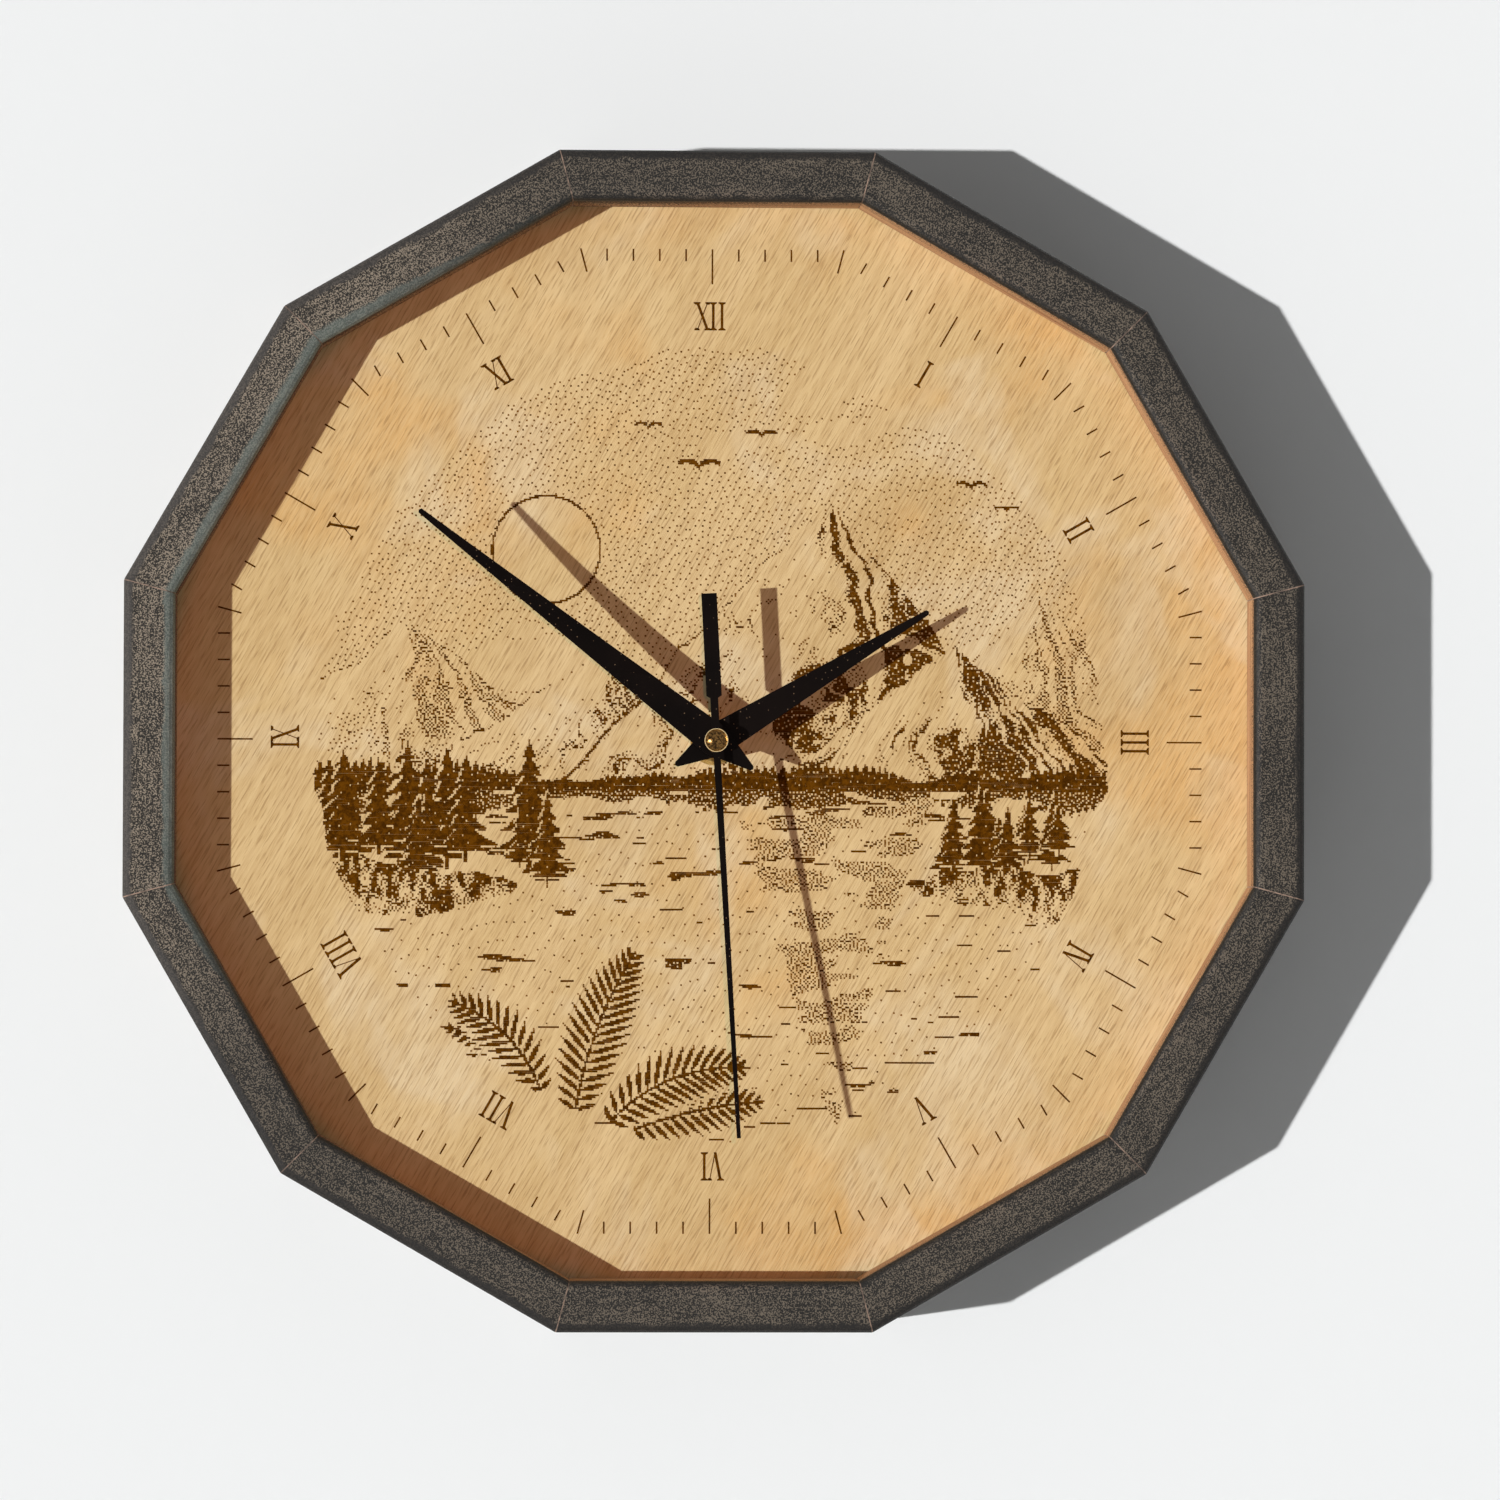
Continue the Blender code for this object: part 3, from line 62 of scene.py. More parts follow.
turn = (Matrix.Rotation(math.radians(CAMERA_YAW), 4, "Z")
        @ Matrix.Rotation(math.radians(CAMERA_PITCH), 4, "X")
        @ Matrix.Rotation(math.radians(CAMERA_ROLL), 4, "Y"))
camera = bpy.data.objects.new("camera", bpy.data.cameras.new("camera"))
camera.data.lens = LENS
camera.data.sensor_width = 36
camera.data.clip_end = 50
camera.matrix_world = Matrix.Translation(CAMERA_PLACE) @ turn @ Matrix.Rotation(math.pi / 2, 4, "X")
bpy.context.collection.objects.link(camera)
bpy.context.scene.camera = camera
bpy.context.scene.view_settings.view_transform = "Standard"
print("camera at", [round(v, 3) for v in CAMERA_PLACE])

# %% [markdown]
# Materials here are node trees. A few small helpers keep them readable. One adds a node, sets its options and
# fills its inputs with plain numbers or with other nodes' outputs. Another turns the 0 to 255 colour that a
# picture program shows into the linear colour that the shader needs.

# %% Node helpers
def fill(tree, node, inputs):
    """Links each input to another node's output, or sets it to a plain number or colour."""
    for key, value in inputs.items():
        if isinstance(value, bpy.types.NodeSocket):
            tree.links.new(value, node.inputs[key])
        else:
            node.inputs[key].default_value = value


def add(tree, kind, inputs=None, **options):
    made = tree.nodes.new("ShaderNode" + kind)
    for key, value in options.items():
        setattr(made, key, value)
    fill(tree, made, inputs or {})
    return made


def rgb(*screen):
    linear = [(v / 255 / 12.92) if v <= 10 else ((v / 255 + 0.055) / 1.055) ** 2.4 for v in screen]
    return (*linear, 1.0)


def new_finish(name):
    material = bpy.data.materials.new(name)
    material.use_nodes = True
    tree = material.node_tree
    return material, tree, tree.nodes["Principled BSDF"]


print("a screen grey of 128 is", round(rgb(128)[0], 3), "in linear light")

# %% [markdown]
# The finishes below use the same few nodes again and again: sums, mixes, soft steps, noise and bump. Each
# gets a function of a line or two, so that a finish reads like a recipe. Noise scales are blots to the metre.

# %% The nodes that finishes use most
def arithmetic(tree, operation, a, b=0.0, c=0.0):
    return add(tree, "Math", {0: a, 1: b, 2: c}, operation=operation).outputs[0]


def mixed(tree, factor, a, b):
    return add(tree, "Mix", {0: factor, 6: a, 7: b}, data_type="RGBA").outputs[2]


def spread(tree, value, low, high, to_low=0.0, to_high=1.0):
    """A soft step that goes from to_low to to_high while the value goes from low to high."""
    made = add(tree, "MapRange", {0: value, 1: low, 2: high, 3: to_low, 4: to_high},
               interpolation_type="SMOOTHSTEP")
    return made.outputs[0]


def object_place(tree):
    return add(tree, "TexCoord").outputs["Object"]


def noise(tree, place, scale, detail=2.0, roughness=0.5, distortion=0.0):
    made = add(tree, "TexNoise", {"Vector": place, "Scale": scale, "Detail": detail, "Roughness": roughness,
                                  "Distortion": distortion})
    return made.outputs[0]


def bumped(tree, shader, height, distance, strength):
    made = add(tree, "Bump", {"Height": height, "Distance": distance, "Strength": strength})
    fill(tree, shader, {"Normal": made.outputs[0]})


# %% [markdown]
# The wall is one large pale sheet just behind the frame, so the clock throws its shadow on it. Seen from
# behind, a real wall would hide the clock, so this one shows only its front: light and view pass its back.
# The floor lies far below, out of the front view.

# %% Wall and floor
WALL_COLOUR = rgb(240, 241, 241)
WALL_GAP = 0.0004
WALL_SIZE, FLOOR_SIZE = 6.0, 4.0
FLOOR_PLACE = (0, -2.0, -2.0)
MATT = 0.9


def sheet_of(name, size, place, tilt, material):
    bpy.ops.mesh.primitive_plane_add(size=size, location=place, rotation=(tilt, 0, 0))
    made = bpy.context.object
    made.name = name
    made.data.materials.append(material)


def background_seen(tree):
    """1 for the rays that show the background: those of the camera, of gloss and through glass."""
    ray = add(tree, "LightPath")
    seen = arithmetic(tree, "MAXIMUM", ray.outputs["Is Camera Ray"], ray.outputs["Is Glossy Ray"])
    return arithmetic(tree, "MAXIMUM", seen, ray.outputs["Is Transmission Ray"])


def either(tree, factor, first, second):
    """Shows the first shader where the factor is 0, and the second where it is 1."""
    both = add(tree, "MixShader", {0: factor, 1: first.outputs[0], 2: second.outputs[0]})
    fill(tree, tree.nodes["Material Output"], {"Surface": both.outputs[0]})


wall_paint, tree, shader = new_finish("wall_paint")
fill(tree, shader, {"Base Color": WALL_COLOUR, "Roughness": MATT, "Specular IOR Level": 0.0})
ray = add(tree, "LightPath")
side = add(tree, "NewGeometry")
unseen = arithmetic(tree, "MAXIMUM", ray.outputs["Is Shadow Ray"], side.outputs["Backfacing"])
either(tree, unseen, shader, add(tree, "BsdfTransparent"))

floor_paint, tree, shader = new_finish("floor_paint")
fill(tree, shader, {"Base Color": WALL_COLOUR, "Roughness": MATT})
glow = add(tree, "Emission", {"Color": WALL_COLOUR, "Strength": 1.0})
either(tree, background_seen(tree), shader, glow)

sheet_of("wall", WALL_SIZE, (0, WALL_GAP, 0), math.pi / 2, wall_paint)
sheet_of("floor", FLOOR_SIZE, FLOOR_PLACE, 0.0, floor_paint)
print("wall and floor in place")

# %% [markdown]
# Low sun comes in from the left, half from the front, and throws the frame's shadow over the dial and the
# wall. A sun lamp has parallel rays, and its angle sets how soft the shadow's edge is. A dim even sky fills
# the shadows, and white is what the camera and the gloss see beyond the wall. The strengths add up to about
# one on a surface that faces front, so colours render about as they are written. A faint reddish spot lamp on
# the dial stands for the light that the warm wood all round it throws back into the shadows. It lights only
# matt surfaces, since such spread light makes no glints. A softbox behind lights the back of the clock.

# %% Lights
SUN_TRAVEL = Vector((0.0394, 0.0440, 0.0055)).normalized()
SUN_SHARE = 0.80
SUN_ANGLE = 0.9          # degrees
SKY_SHARE = 0.175
SKY_WHITE = 1.0
REAR_POWER, REAR_SIZE = 26.0, 1.4
REAR_PLACE = Vector((0.35, 1.8, 0.5))
BOUNCE_POWER = 12.0
BOUNCE_COLOUR = (1.0, 0.17, 0.02)
BOUNCE_DISTANCE = 1.5
BOUNCE_REACH = 0.144     # radius of its pool of light, which stops on the frame
BOUNCE_FADE = 0.04       # share of the pool over which its edge fades
BOUNCE_BULB = 0.003      # a wide bulb would spread the pool past the frame


def lamp(name, kind, direction, place=(0, 0, 0), **options):
    made = bpy.data.objects.new(name, bpy.data.lights.new(name, kind))
    for key, value in options.items():
        setattr(made.data, key, value)
    made.location = place
    made.rotation_euler = Vector(direction).to_track_quat("-Z", "Y").to_euler()
    bpy.context.collection.objects.link(made)
    return made


# A sun of strength pi shows a colour as written on a sheet square to its rays. The dial is askew to them.
sun_strength = SUN_SHARE * math.pi / SUN_TRAVEL.y
lamp("sun", "SUN", SUN_TRAVEL, energy=sun_strength, angle=math.radians(SUN_ANGLE))
bounce = lamp("bounce", "SPOT", (0, 1, 0), place=(0, -BOUNCE_DISTANCE, 0), energy=BOUNCE_POWER,
              color=BOUNCE_COLOUR, spot_size=2 * math.atan(BOUNCE_REACH / BOUNCE_DISTANCE),
              spot_blend=BOUNCE_FADE, shadow_soft_size=BOUNCE_BULB)
bounce.visible_glossy = False
lamp("rear_softbox", "AREA", -REAR_PLACE, place=REAR_PLACE, energy=REAR_POWER, size=REAR_SIZE)

world = bpy.data.worlds.new("sky")
bpy.context.scene.world = world
world.use_nodes = True
tree = world.node_tree
sky = mixed(tree, background_seen(tree), (SKY_SHARE, SKY_SHARE, SKY_SHARE, 1), (SKY_WHITE,) * 3 + (1,))
fill(tree, tree.nodes["Background"], {"Color": sky})
print("sun strength", round(sun_strength, 2))

# %% [markdown]
# All twelve staves share one material, and its grain has to run along each of them. Every stave is the top
# one turned by a multiple of 30 degrees, so the material turns each point back by that multiple and then
# works as if it were on the top stave: along, out from the wall, and away from the centre.

# %% Stave coordinates
STAVES = 12
STAVE_STEP = 2 * math.pi / STAVES


def stave_place(tree):
    """Outputs: the point and the normal in the top stave's place, and the stave's number."""
    source = add(tree, "TexCoord")
    split = add(tree, "SeparateXYZ", {0: source.outputs["Object"]})
    angle = arithmetic(tree, "ARCTAN2", split.outputs[0], split.outputs[2])
    number = arithmetic(tree, "ROUND", arithmetic(tree, "DIVIDE", angle, STAVE_STEP))
    back = arithmetic(tree, "MULTIPLY", number, -STAVE_STEP)
    turned_back = []
    for output in (source.outputs["Object"], source.outputs["Normal"]):
        made = add(tree, "VectorRotate", {"Vector": output, "Angle": back}, rotation_type="Y_AXIS")
        turned_back.append(made.outputs[0])
    return turned_back[0], turned_back[1], arithmetic(tree, "FLOORED_MODULO", number, STAVES)


def stretched(tree, place, scale, shift=(0, 0, 0), turn=(0, 0, 0)):
    """The place for a texture that is drawn finer or coarser along each axis, moved and turned."""
    made = add(tree, "Mapping", {"Vector": place, "Location": shift, "Rotation": turn, "Scale": scale})
    return made.outputs[0]


def brightened(tree, colour, gain):
    """The colour times a plain number."""
    colour = colour[:3] if isinstance(colour, tuple) else colour
    return add(tree, "VectorMath", {0: colour, 3: gain}, operation="SCALE").outputs[0]


print(STAVES, "staves, one every", round(math.degrees(STAVE_STEP)), "degrees")

# %% [markdown]
# The frame is pine or alder, painted black on the front and on the sides only. The paint is thin: it dries
# to a fine salt and pepper of brown fibre ends and dark film. Along the inner edge it pools to a smoother
# film, and along the outer edge it is darker. Towards the upper left a sheen is painted in: the staves there
# are painted paler and cooler, the dark outer edge is painted lighter, the inner pool is painted as a light
# teal reflection and reaches further in, and right at the inner edge it gets a painted highlight against the
# shade of the rounding. The salt and pepper is a noise cut into three tones, and the bands are masks from the
# distance to each edge.

# %% Black paint
PAINT_DARK, PAINT_MID, PAINT_LIGHT = rgb(13, 10, 6), rgb(35, 31, 27), rgb(104, 94, 82)
# The pool is dark on the right, and on the upper left a painted light teal reflection.
POOL_RIGHT, POOL_LEFT = rgb(26, 24, 22), rgb(98, 104, 98)
# The dark outer edge is painted lighter on the upper left, with the painted sheen.
EDGE_RIGHT, EDGE_LEFT = rgb(24, 21, 19), rgb(58, 54, 51)
SPECK_SCALE, SPECK_SHARE = 2700, 0.8
FIBRE_SCALE = (120, 1500, 1500)
BLOT_SCALE, BLOT_DEPTH = (45, 110, 110), 0.02
DARK_GRIT, MID_GRIT, LIGHT_GRIT = 0.43, 0.50, 0.57
FILM_LOW, FILM_HIGH, FILM_GAIN = 0.42, 0.58, 0.2
# Towards the upper left, where sheen on the front and shade on the inner wall are painted.
UPPER_LEFT_WAY = (-0.94, 0.0, 0.34)
# Painted sheen: the paint is painted paler over this stretch of the lean, by this gain.
SHEEN_PAINT_FROM, SHEEN_PAINT_TO, SHEEN_PAINT_GAIN = 0.075, 0.135, 1.05
POOL_WIDTH, POOL_FADE, POOL_COVER = 0.0018, 0.0012, 0.85
LIP_HIGHLIGHT_WIDTH, LIP_HIGHLIGHT_GAIN = 0.0016, 0.7       # a painted highlight at the very inner edge, against the shade of the rounding
EDGE_WIDTH, EDGE_FADE, EDGE_COVER = 0.0023, 0.0005, 0.9
EDGE_STARTS, EDGE_FULL = 0.005, 0.001   # behind the front; further back the sides are plain
stave_low, stave_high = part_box("frame_stave_01")
FRAME_FRONT = -stave_low.y
FRAME_OUTSIDE = stave_high.z
STAVE_THICKNESS = 0.013
FRAME_INSIDE = FRAME_OUTSIDE - STAVE_THICKNESS


def paint_grit(tree, place):
    """The salt and pepper: mostly specks, some fibre along the stave, and faint blots over both."""
    speck = noise(tree, place, SPECK_SCALE, 1.0, 0.6)
    fibre = noise(tree, stretched(tree, place, FIBRE_SCALE), 1.0, 2.0, 0.6)
    blot = noise(tree, stretched(tree, place, BLOT_SCALE), 1.0, 3.0, 0.6)
    grit = arithmetic(tree, "ADD", arithmetic(tree, "MULTIPLY", speck, SPECK_SHARE),
                      arithmetic(tree, "MULTIPLY", fibre, 1 - SPECK_SHARE))
    return arithmetic(tree, "ADD", grit, spread(tree, blot, 0.3, 0.7, -BLOT_DEPTH, BLOT_DEPTH))


def paint_film(tree, grit, lean, out, depth):
    """The paint's colour from its grit, the lean towards the upper left where sheen is painted, and how near to
    each edge.
    """
    paint = mixed(tree, spread(tree, grit, DARK_GRIT, MID_GRIT), PAINT_DARK, PAINT_MID)
    paint = mixed(tree, spread(tree, grit, MID_GRIT, LIGHT_GRIT), paint, PAINT_LIGHT)
    # Painted sheen: the upper left staves are painted paler, as where the paint catches the light.
    painted_sheen = spread(tree, lean, SHEEN_PAINT_FROM, SHEEN_PAINT_TO)
    paint = brightened(tree, paint, arithmetic(tree, "MULTIPLY_ADD", painted_sheen, SHEEN_PAINT_GAIN, 1.0))

    film = spread(tree, grit, FILM_LOW, FILM_HIGH, 1 - FILM_GAIN, 1 + FILM_GAIN)
    # The pool: dark on the right, and on the upper left a painted light teal reflection that reaches further
    # in.
    pool = brightened(tree, mixed(tree, painted_sheen, POOL_RIGHT, POOL_LEFT), film)
    # A painted highlight right at the inner edge on the upper left, against the shade of the rounding.
    lip_highlight = arithmetic(tree, "MULTIPLY", painted_sheen, spread(tree, out, FRAME_INSIDE + LIP_HIGHLIGHT_WIDTH, FRAME_INSIDE))
    pool = brightened(tree, pool, arithmetic(tree, "MULTIPLY_ADD", lip_highlight, LIP_HIGHLIGHT_GAIN, 1.0))
    near = arithmetic(tree, "MULTIPLY_ADD", painted_sheen, -POOL_WIDTH, out)
    end = FRAME_INSIDE + POOL_WIDTH
    paint = mixed(tree, spread(tree, near, end, end - POOL_FADE, 0.0, POOL_COVER), paint, pool)

    # The dark outer edge, painted lighter on the upper left with the painted sheen.
    dark_edge = brightened(tree, mixed(tree, painted_sheen, EDGE_RIGHT, EDGE_LEFT), film)
    start = FRAME_OUTSIDE - EDGE_WIDTH
    edged = spread(tree, out, start - EDGE_FADE, start + EDGE_FADE, 0.0, EDGE_COVER)
    near_front = spread(tree, depth, FRAME_FRONT - EDGE_STARTS, FRAME_FRONT - EDGE_FULL)
    return mixed(tree, arithmetic(tree, "MULTIPLY", edged, near_front), paint, dark_edge)


print("frame front", round(FRAME_FRONT * 1000, 1), "mm from the wall")

# %% [markdown]
# The inner wall of the frame is bare reddish wood with a haze of overspray, and the paint ends raggedly just
# inside the front edge. On the left, where the inner wall lies in shade, more of the same dark dust is painted
# in as painted shade. One shader does both, with masks from the depth and from which way the surface faces.
# Two materials on separate faces would meet in a ruled line instead.

# %% Bare wood inside, and the whole frame
BARE_LIGHT, BARE_DARK = rgb(196, 155, 116), rgb(156, 112, 78)
OVERSPRAY_AND_SHADE = rgb(46, 30, 23)
GRAIN_SHIFT = 0.37       # from stave to stave, so that no two show the same grain
BARE_GRAIN = (22, 650, 650)
DUST_SCALE, DUST_EDGE = 1700, 0.03
HAZE_DEPTH, HAZE_DEEP, HAZE_NEAR = 0.012, 0.66, 0.52    # a lower limit lets more of the dust through
# The extra dust on the left inner wall is painted shade, since that wall lies in shade.
SHADE_SPRAY_FROM, SHADE_SPRAY_TO, PAINTED_SHADE_SPRAY = 0.0, 0.08, 0.16
SHADE_SPRAY_ENDS, SHADE_SPRAY_FULL = 0.022, 0.016
PAINT_REACH = 0.0022     # how far the paint runs over the inner edge
PAINT_FADE = 0.0002
RAGGED_SCALE, RAGGED_DEPTH = 700, 0.0012
WANDER_SCALE, WANDER = 260, 0.0004      # how far the bands of paint stray from a straight line
SIDE_FROM, SIDE_TO = 0.3, 0.5           # how squarely a face that counts as outside looks outward


def bare_wood(tree, place, lean, depth):
    grain = noise(tree, stretched(tree, place, BARE_GRAIN), 1.0, 4.0, 0.6, 0.3)
    bare = mixed(tree, spread(tree, grain, 0.35, 0.65), BARE_DARK, BARE_LIGHT)
    limit = spread(tree, depth, FRAME_FRONT - HAZE_DEPTH, FRAME_FRONT - PAINT_REACH, HAZE_DEEP, HAZE_NEAR)
    # Painted shade: more dust on the left inner wall, which lies in shade.
    more = spread(tree, lean, SHADE_SPRAY_FROM, SHADE_SPRAY_TO, 0.0, -PAINTED_SHADE_SPRAY)
    more = arithmetic(tree, "MULTIPLY", more,
                      spread(tree, depth, FRAME_FRONT - SHADE_SPRAY_ENDS, FRAME_FRONT - SHADE_SPRAY_FULL))
    dust = noise(tree, place, DUST_SCALE, 2.0, 0.6)
    over = arithmetic(tree, "SUBTRACT", dust, arithmetic(tree, "ADD", limit, more))
    return mixed(tree, spread(tree, over, -DUST_EDGE, DUST_EDGE), bare, OVERSPRAY_AND_SHADE)


def painted_wood():
    material, tree, shader = new_finish("black_painted_wood")
    place, normal, number = stave_place(tree)
    shift = add(tree, "CombineXYZ", {0: arithmetic(tree, "MULTIPLY", number, GRAIN_SHIFT)})
    place = add(tree, "VectorMath", {0: place, 1: shift.outputs[0]}, operation="ADD").outputs[0]
    split = add(tree, "SeparateXYZ", {0: place})
    facing = add(tree, "SeparateXYZ", {0: normal})
    lean = add(tree, "VectorMath", {0: object_place(tree), 1: UPPER_LEFT_WAY}, operation="DOT_PRODUCT").outputs[1]
    wander = spread(tree, noise(tree, place, WANDER_SCALE, 2.0), 0.3, 0.7, -WANDER, WANDER)
    out = arithmetic(tree, "ADD", split.outputs[2], wander)
    depth = arithmetic(tree, "MULTIPLY", split.outputs[1], -1.0)
    grit = paint_grit(tree, place)
    paint = paint_film(tree, grit, lean, out, depth)
    bare = bare_wood(tree, place, lean, depth)

    ragged = arithmetic(tree, "MULTIPLY", noise(tree, place, RAGGED_SCALE, 3.0), RAGGED_DEPTH)
    edge = arithmetic(tree, "ADD", arithmetic(tree, "ADD", depth, ragged), -RAGGED_DEPTH / 2)
    end = FRAME_FRONT - PAINT_REACH
    front = spread(tree, edge, end - PAINT_FADE, end + PAINT_FADE)
    outer = spread(tree, facing.outputs[2], SIDE_FROM, SIDE_TO)
    masked = arithmetic(tree, "MAXIMUM", front, outer)
    fill(tree, shader, {"Base Color": mixed(tree, masked, bare, paint),
                        "Roughness": spread(tree, masked, 0, 1, 0.75, 0.6), "Specular IOR Level": 0.25})
    bumped(tree, shader, grit, 0.0002, 0.7)
    return material


def coat(material, *names):
    for name in names:
        node = nodes[name]
        node.data.materials.clear()
        node.data.materials.append(material)


staves = [name for name in nodes if name.startswith("frame_stave")]
coat(painted_wood(), *staves)
print(len(staves), "staves painted")

# %% [markdown]
# Each mitre shows as a thin pale line, where glue and wood dust fill the joint. The staves leave a gap of a
# third of a millimetre there, so a thin sliver in the stave's own section fills each one, a hair below the
# paint. A texture could draw the line, but a real sliver also closes the gap to the light.

# %% Glue lines in the mitres
GLUE_THICKNESS = 0.00027
GLUE_SUNK = 0.00007
GLUE_DARK, GLUE_LIGHT = rgb(96, 80, 70), rgb(168, 140, 122)
RIM_THICKNESS = 0.0080   # of the stave behind the dial, where it is rabbeted
LEDGE_GAP = 0.0003       # between the dial and the ledge in front of it
FRONT_ROUNDING = 0.0019
HALFWAY = 0.29           # how far the middle of a quarter turn stands in from its corner


def linked(name, mesh):
    piece = bpy.data.objects.new(name, mesh)
    bpy.context.collection.objects.link(piece)
    return piece


def piece_of(name, made):
    mesh = bpy.data.meshes.new(name)
    made.to_mesh(mesh)
    made.free()
    return linked(name, mesh)


def solid(name, outlines, lower, upper, lift):
    """Closed prisms from flat outlines. lift(points, height) gives the 3-D points of one level."""
    made = bmesh.new()
    for outline in outlines:
        rings = [[made.verts.new(p) for p in lift(outline, level)] for level in (lower, upper)]
        made.faces.new(list(reversed(rings[0])))
        made.faces.new(rings[1])
        for i in range(len(outline)):
            j = (i + 1) % len(outline)
            made.faces.new((rings[0][i], rings[0][j], rings[1][j], rings[1][i]))
    bmesh.ops.recalc_face_normals(made, faces=made.faces)
    return piece_of(name, made)


def stave_section(sunk):
    """The stave's outline as (distance from the centre line, depth from the wall), drawn in by sunk."""
    outer = FRAME_OUTSIDE - sunk
    inner = outer - STAVE_THICKNESS + 2 * sunk
    step = outer - RIM_THICKNESS + 2 * sunk
    ledge = -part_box("dial_panel")[0].y + LEDGE_GAP + sunk
    front = FRAME_FRONT - sunk
    soft = FRONT_ROUNDING
    bulge = soft * HALFWAY
    return [(step, sunk), (outer, sunk), (outer, front - soft), (outer - bulge, front - bulge),
            (outer - soft, front), (inner + soft, front), (inner + bulge, front - bulge),
            (inner, front - soft), (inner, ledge), (step, ledge)]


def mitre_slivers():
    section = stave_section(GLUE_SUNK)
    pieces = []
    for k in range(STAVES):
        angle = STAVE_STEP * (k + 0.5)
        out = Vector((math.sin(angle), 0, math.cos(angle))) / math.cos(STAVE_STEP / 2)
        across = Vector((math.cos(angle), 0, -math.sin(angle)))
        pieces.append([(out * r + Vector((0, -u, 0)), across) for r, u in section])
    return solid("mitre_glue", pieces, -GLUE_THICKNESS / 2, GLUE_THICKNESS / 2,
                 lambda points, level: [p + across * level for p, across in points])


glue = mitre_slivers()
glue_line, tree, shader = new_finish("glue_line")
dirt = noise(tree, object_place(tree), 260, 3.0, 0.7)
fill(tree, shader, {"Base Color": mixed(tree, spread(tree, dirt, 0.38, 0.6), GLUE_DARK, GLUE_LIGHT),
                    "Roughness": 0.8})
glue.data.materials.append(glue_line)
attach(glue, "clock_body")
print("twelve glue lines,", len(glue.data.polygons), "faces")

# %% [markdown]
# The dial is birch plywood, sanded and left bare. Its grain runs steeply up to the right in short fine dark
# streaks, about one to the millimetre, with soft cloudy patches where the veneer took the light differently
# and a few warmer stains. The streaks are stretched noise that leans on a swaying wave, which looks more like
# veneer than a wood texture made of rings, because rotary cut veneer has no rings. Shadows on raw wood look
# redder than the wood, since light that skims and sinks into it comes back red. A subsurface radius would
# show that at the cost of half as much time again, so the reddish bounce lamp above stands for it.

# %% Plywood
PLY_LIGHT, PLY_MID, PLY_DARK = rgb(215, 193, 144), rgb(203, 179, 127), rgb(170, 138, 88)
PLY_WARM, PLY_PALE, PLY_PORE = rgb(210, 165, 95), rgb(217, 203, 166), rgb(104, 72, 38)
PLY_PITCH = 0.00112      # between neighbouring lines of the grain
GRAIN_ANGLE = math.radians(60)
STREAK_SCALE, RIBBON_SCALE, BAND_SCALE = (220, 3300, 3300), (40, 520, 520), (9, 42, 42)
SWAY_SCALE, SWAY, WAVE_SHARE = (30, 260, 260), 11.0, 0.09
PLY_LAYERS = (           # mask, where it starts, where it is full, how much it covers, colour
    ("band", 0.35, 0.68, 0.80, PLY_LIGHT), ("cloud", 0.50, 0.75, 0.35, PLY_DARK),
    ("stain", 0.50, 0.70, 0.60, PLY_WARM), ("pale", 0.50, 0.68, 0.65, PLY_PALE),
    ("ribbon", 0.35, 0.65, 0.30, PLY_DARK), ("streak", 0.50, 0.36, 0.30, PLY_LIGHT),
    ("streak", 0.52, 0.66, 0.30, PLY_DARK), ("streak", 0.60, 0.74, 0.25, PLY_PORE))


def plywood():
    material, tree, shader = new_finish("pale_plywood")
    source = object_place(tree)
    along = stretched(tree, source, (1, 1, 1), turn=(0, GRAIN_ANGLE, 0))
    across = add(tree, "SeparateXYZ", {0: along}).outputs[2]
    sway = arithmetic(tree, "MULTIPLY", noise(tree, stretched(tree, along, SWAY_SCALE), 1.0, 2.0), SWAY)
    phase = arithmetic(tree, "MULTIPLY_ADD", across, 2 * math.pi / PLY_PITCH, sway)
    streak = noise(tree, stretched(tree, along, STREAK_SCALE), 1.0, 1.0, 0.6)
    masks = {
        "streak": arithmetic(tree, "MULTIPLY_ADD", arithmetic(tree, "SINE", phase), WAVE_SHARE, streak),
        "ribbon": noise(tree, stretched(tree, along, RIBBON_SCALE), 1.0, 2.0, 0.6),
        "band": noise(tree, stretched(tree, along, BAND_SCALE), 1.0, 3.0, 0.55, 0.6),
        "cloud": noise(tree, source, 15, 3.0, 0.55, 0.8),
        "stain": noise(tree, stretched(tree, source, (1, 1, 1), shift=(3.1, 0, 1.7)), 17, 3.0, 0.6),
        "pale": noise(tree, stretched(tree, source, (1, 1, 1), shift=(7.3, 0, 4.1)), 26, 3.0, 0.6, 0.5)}
    wood = PLY_MID
    for mask, low, high, cover, colour in PLY_LAYERS:
        wood = mixed(tree, spread(tree, masks[mask], low, high, 0.0, cover), wood, colour)
    fill(tree, shader, {"Base Color": wood, "Roughness": 0.6, "Specular IOR Level": 0.15})
    bumped(tree, shader, masks["streak"], 0.00010, 0.7)
    return material


coat(plywood(), "dial_panel")
DIAL_FRONT = -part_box("dial_panel")[0].y
print("dial front", round(DIAL_FRONT * 1000, 2), "mm from the wall")

# %% [markdown]
# Numerals, ticks and picture are burnt in with a laser. The burn has crisp edges, so it is made as geometry:
# very low prisms with their lower part in the wood and their top a few hundredths of a millimetre proud. A
# drawn texture would blur under a close look.

# %% Burnt marks
MARK_SUNK = 0.00006
MARK_PROUD = 0.00003
CHAR_SCALE = 900


def on_dial(points, height):
    """Points of the dial, X right and Y up, at a height over its front."""
    return [Vector((x, -DIAL_FRONT - height, y)) for x, y in points]


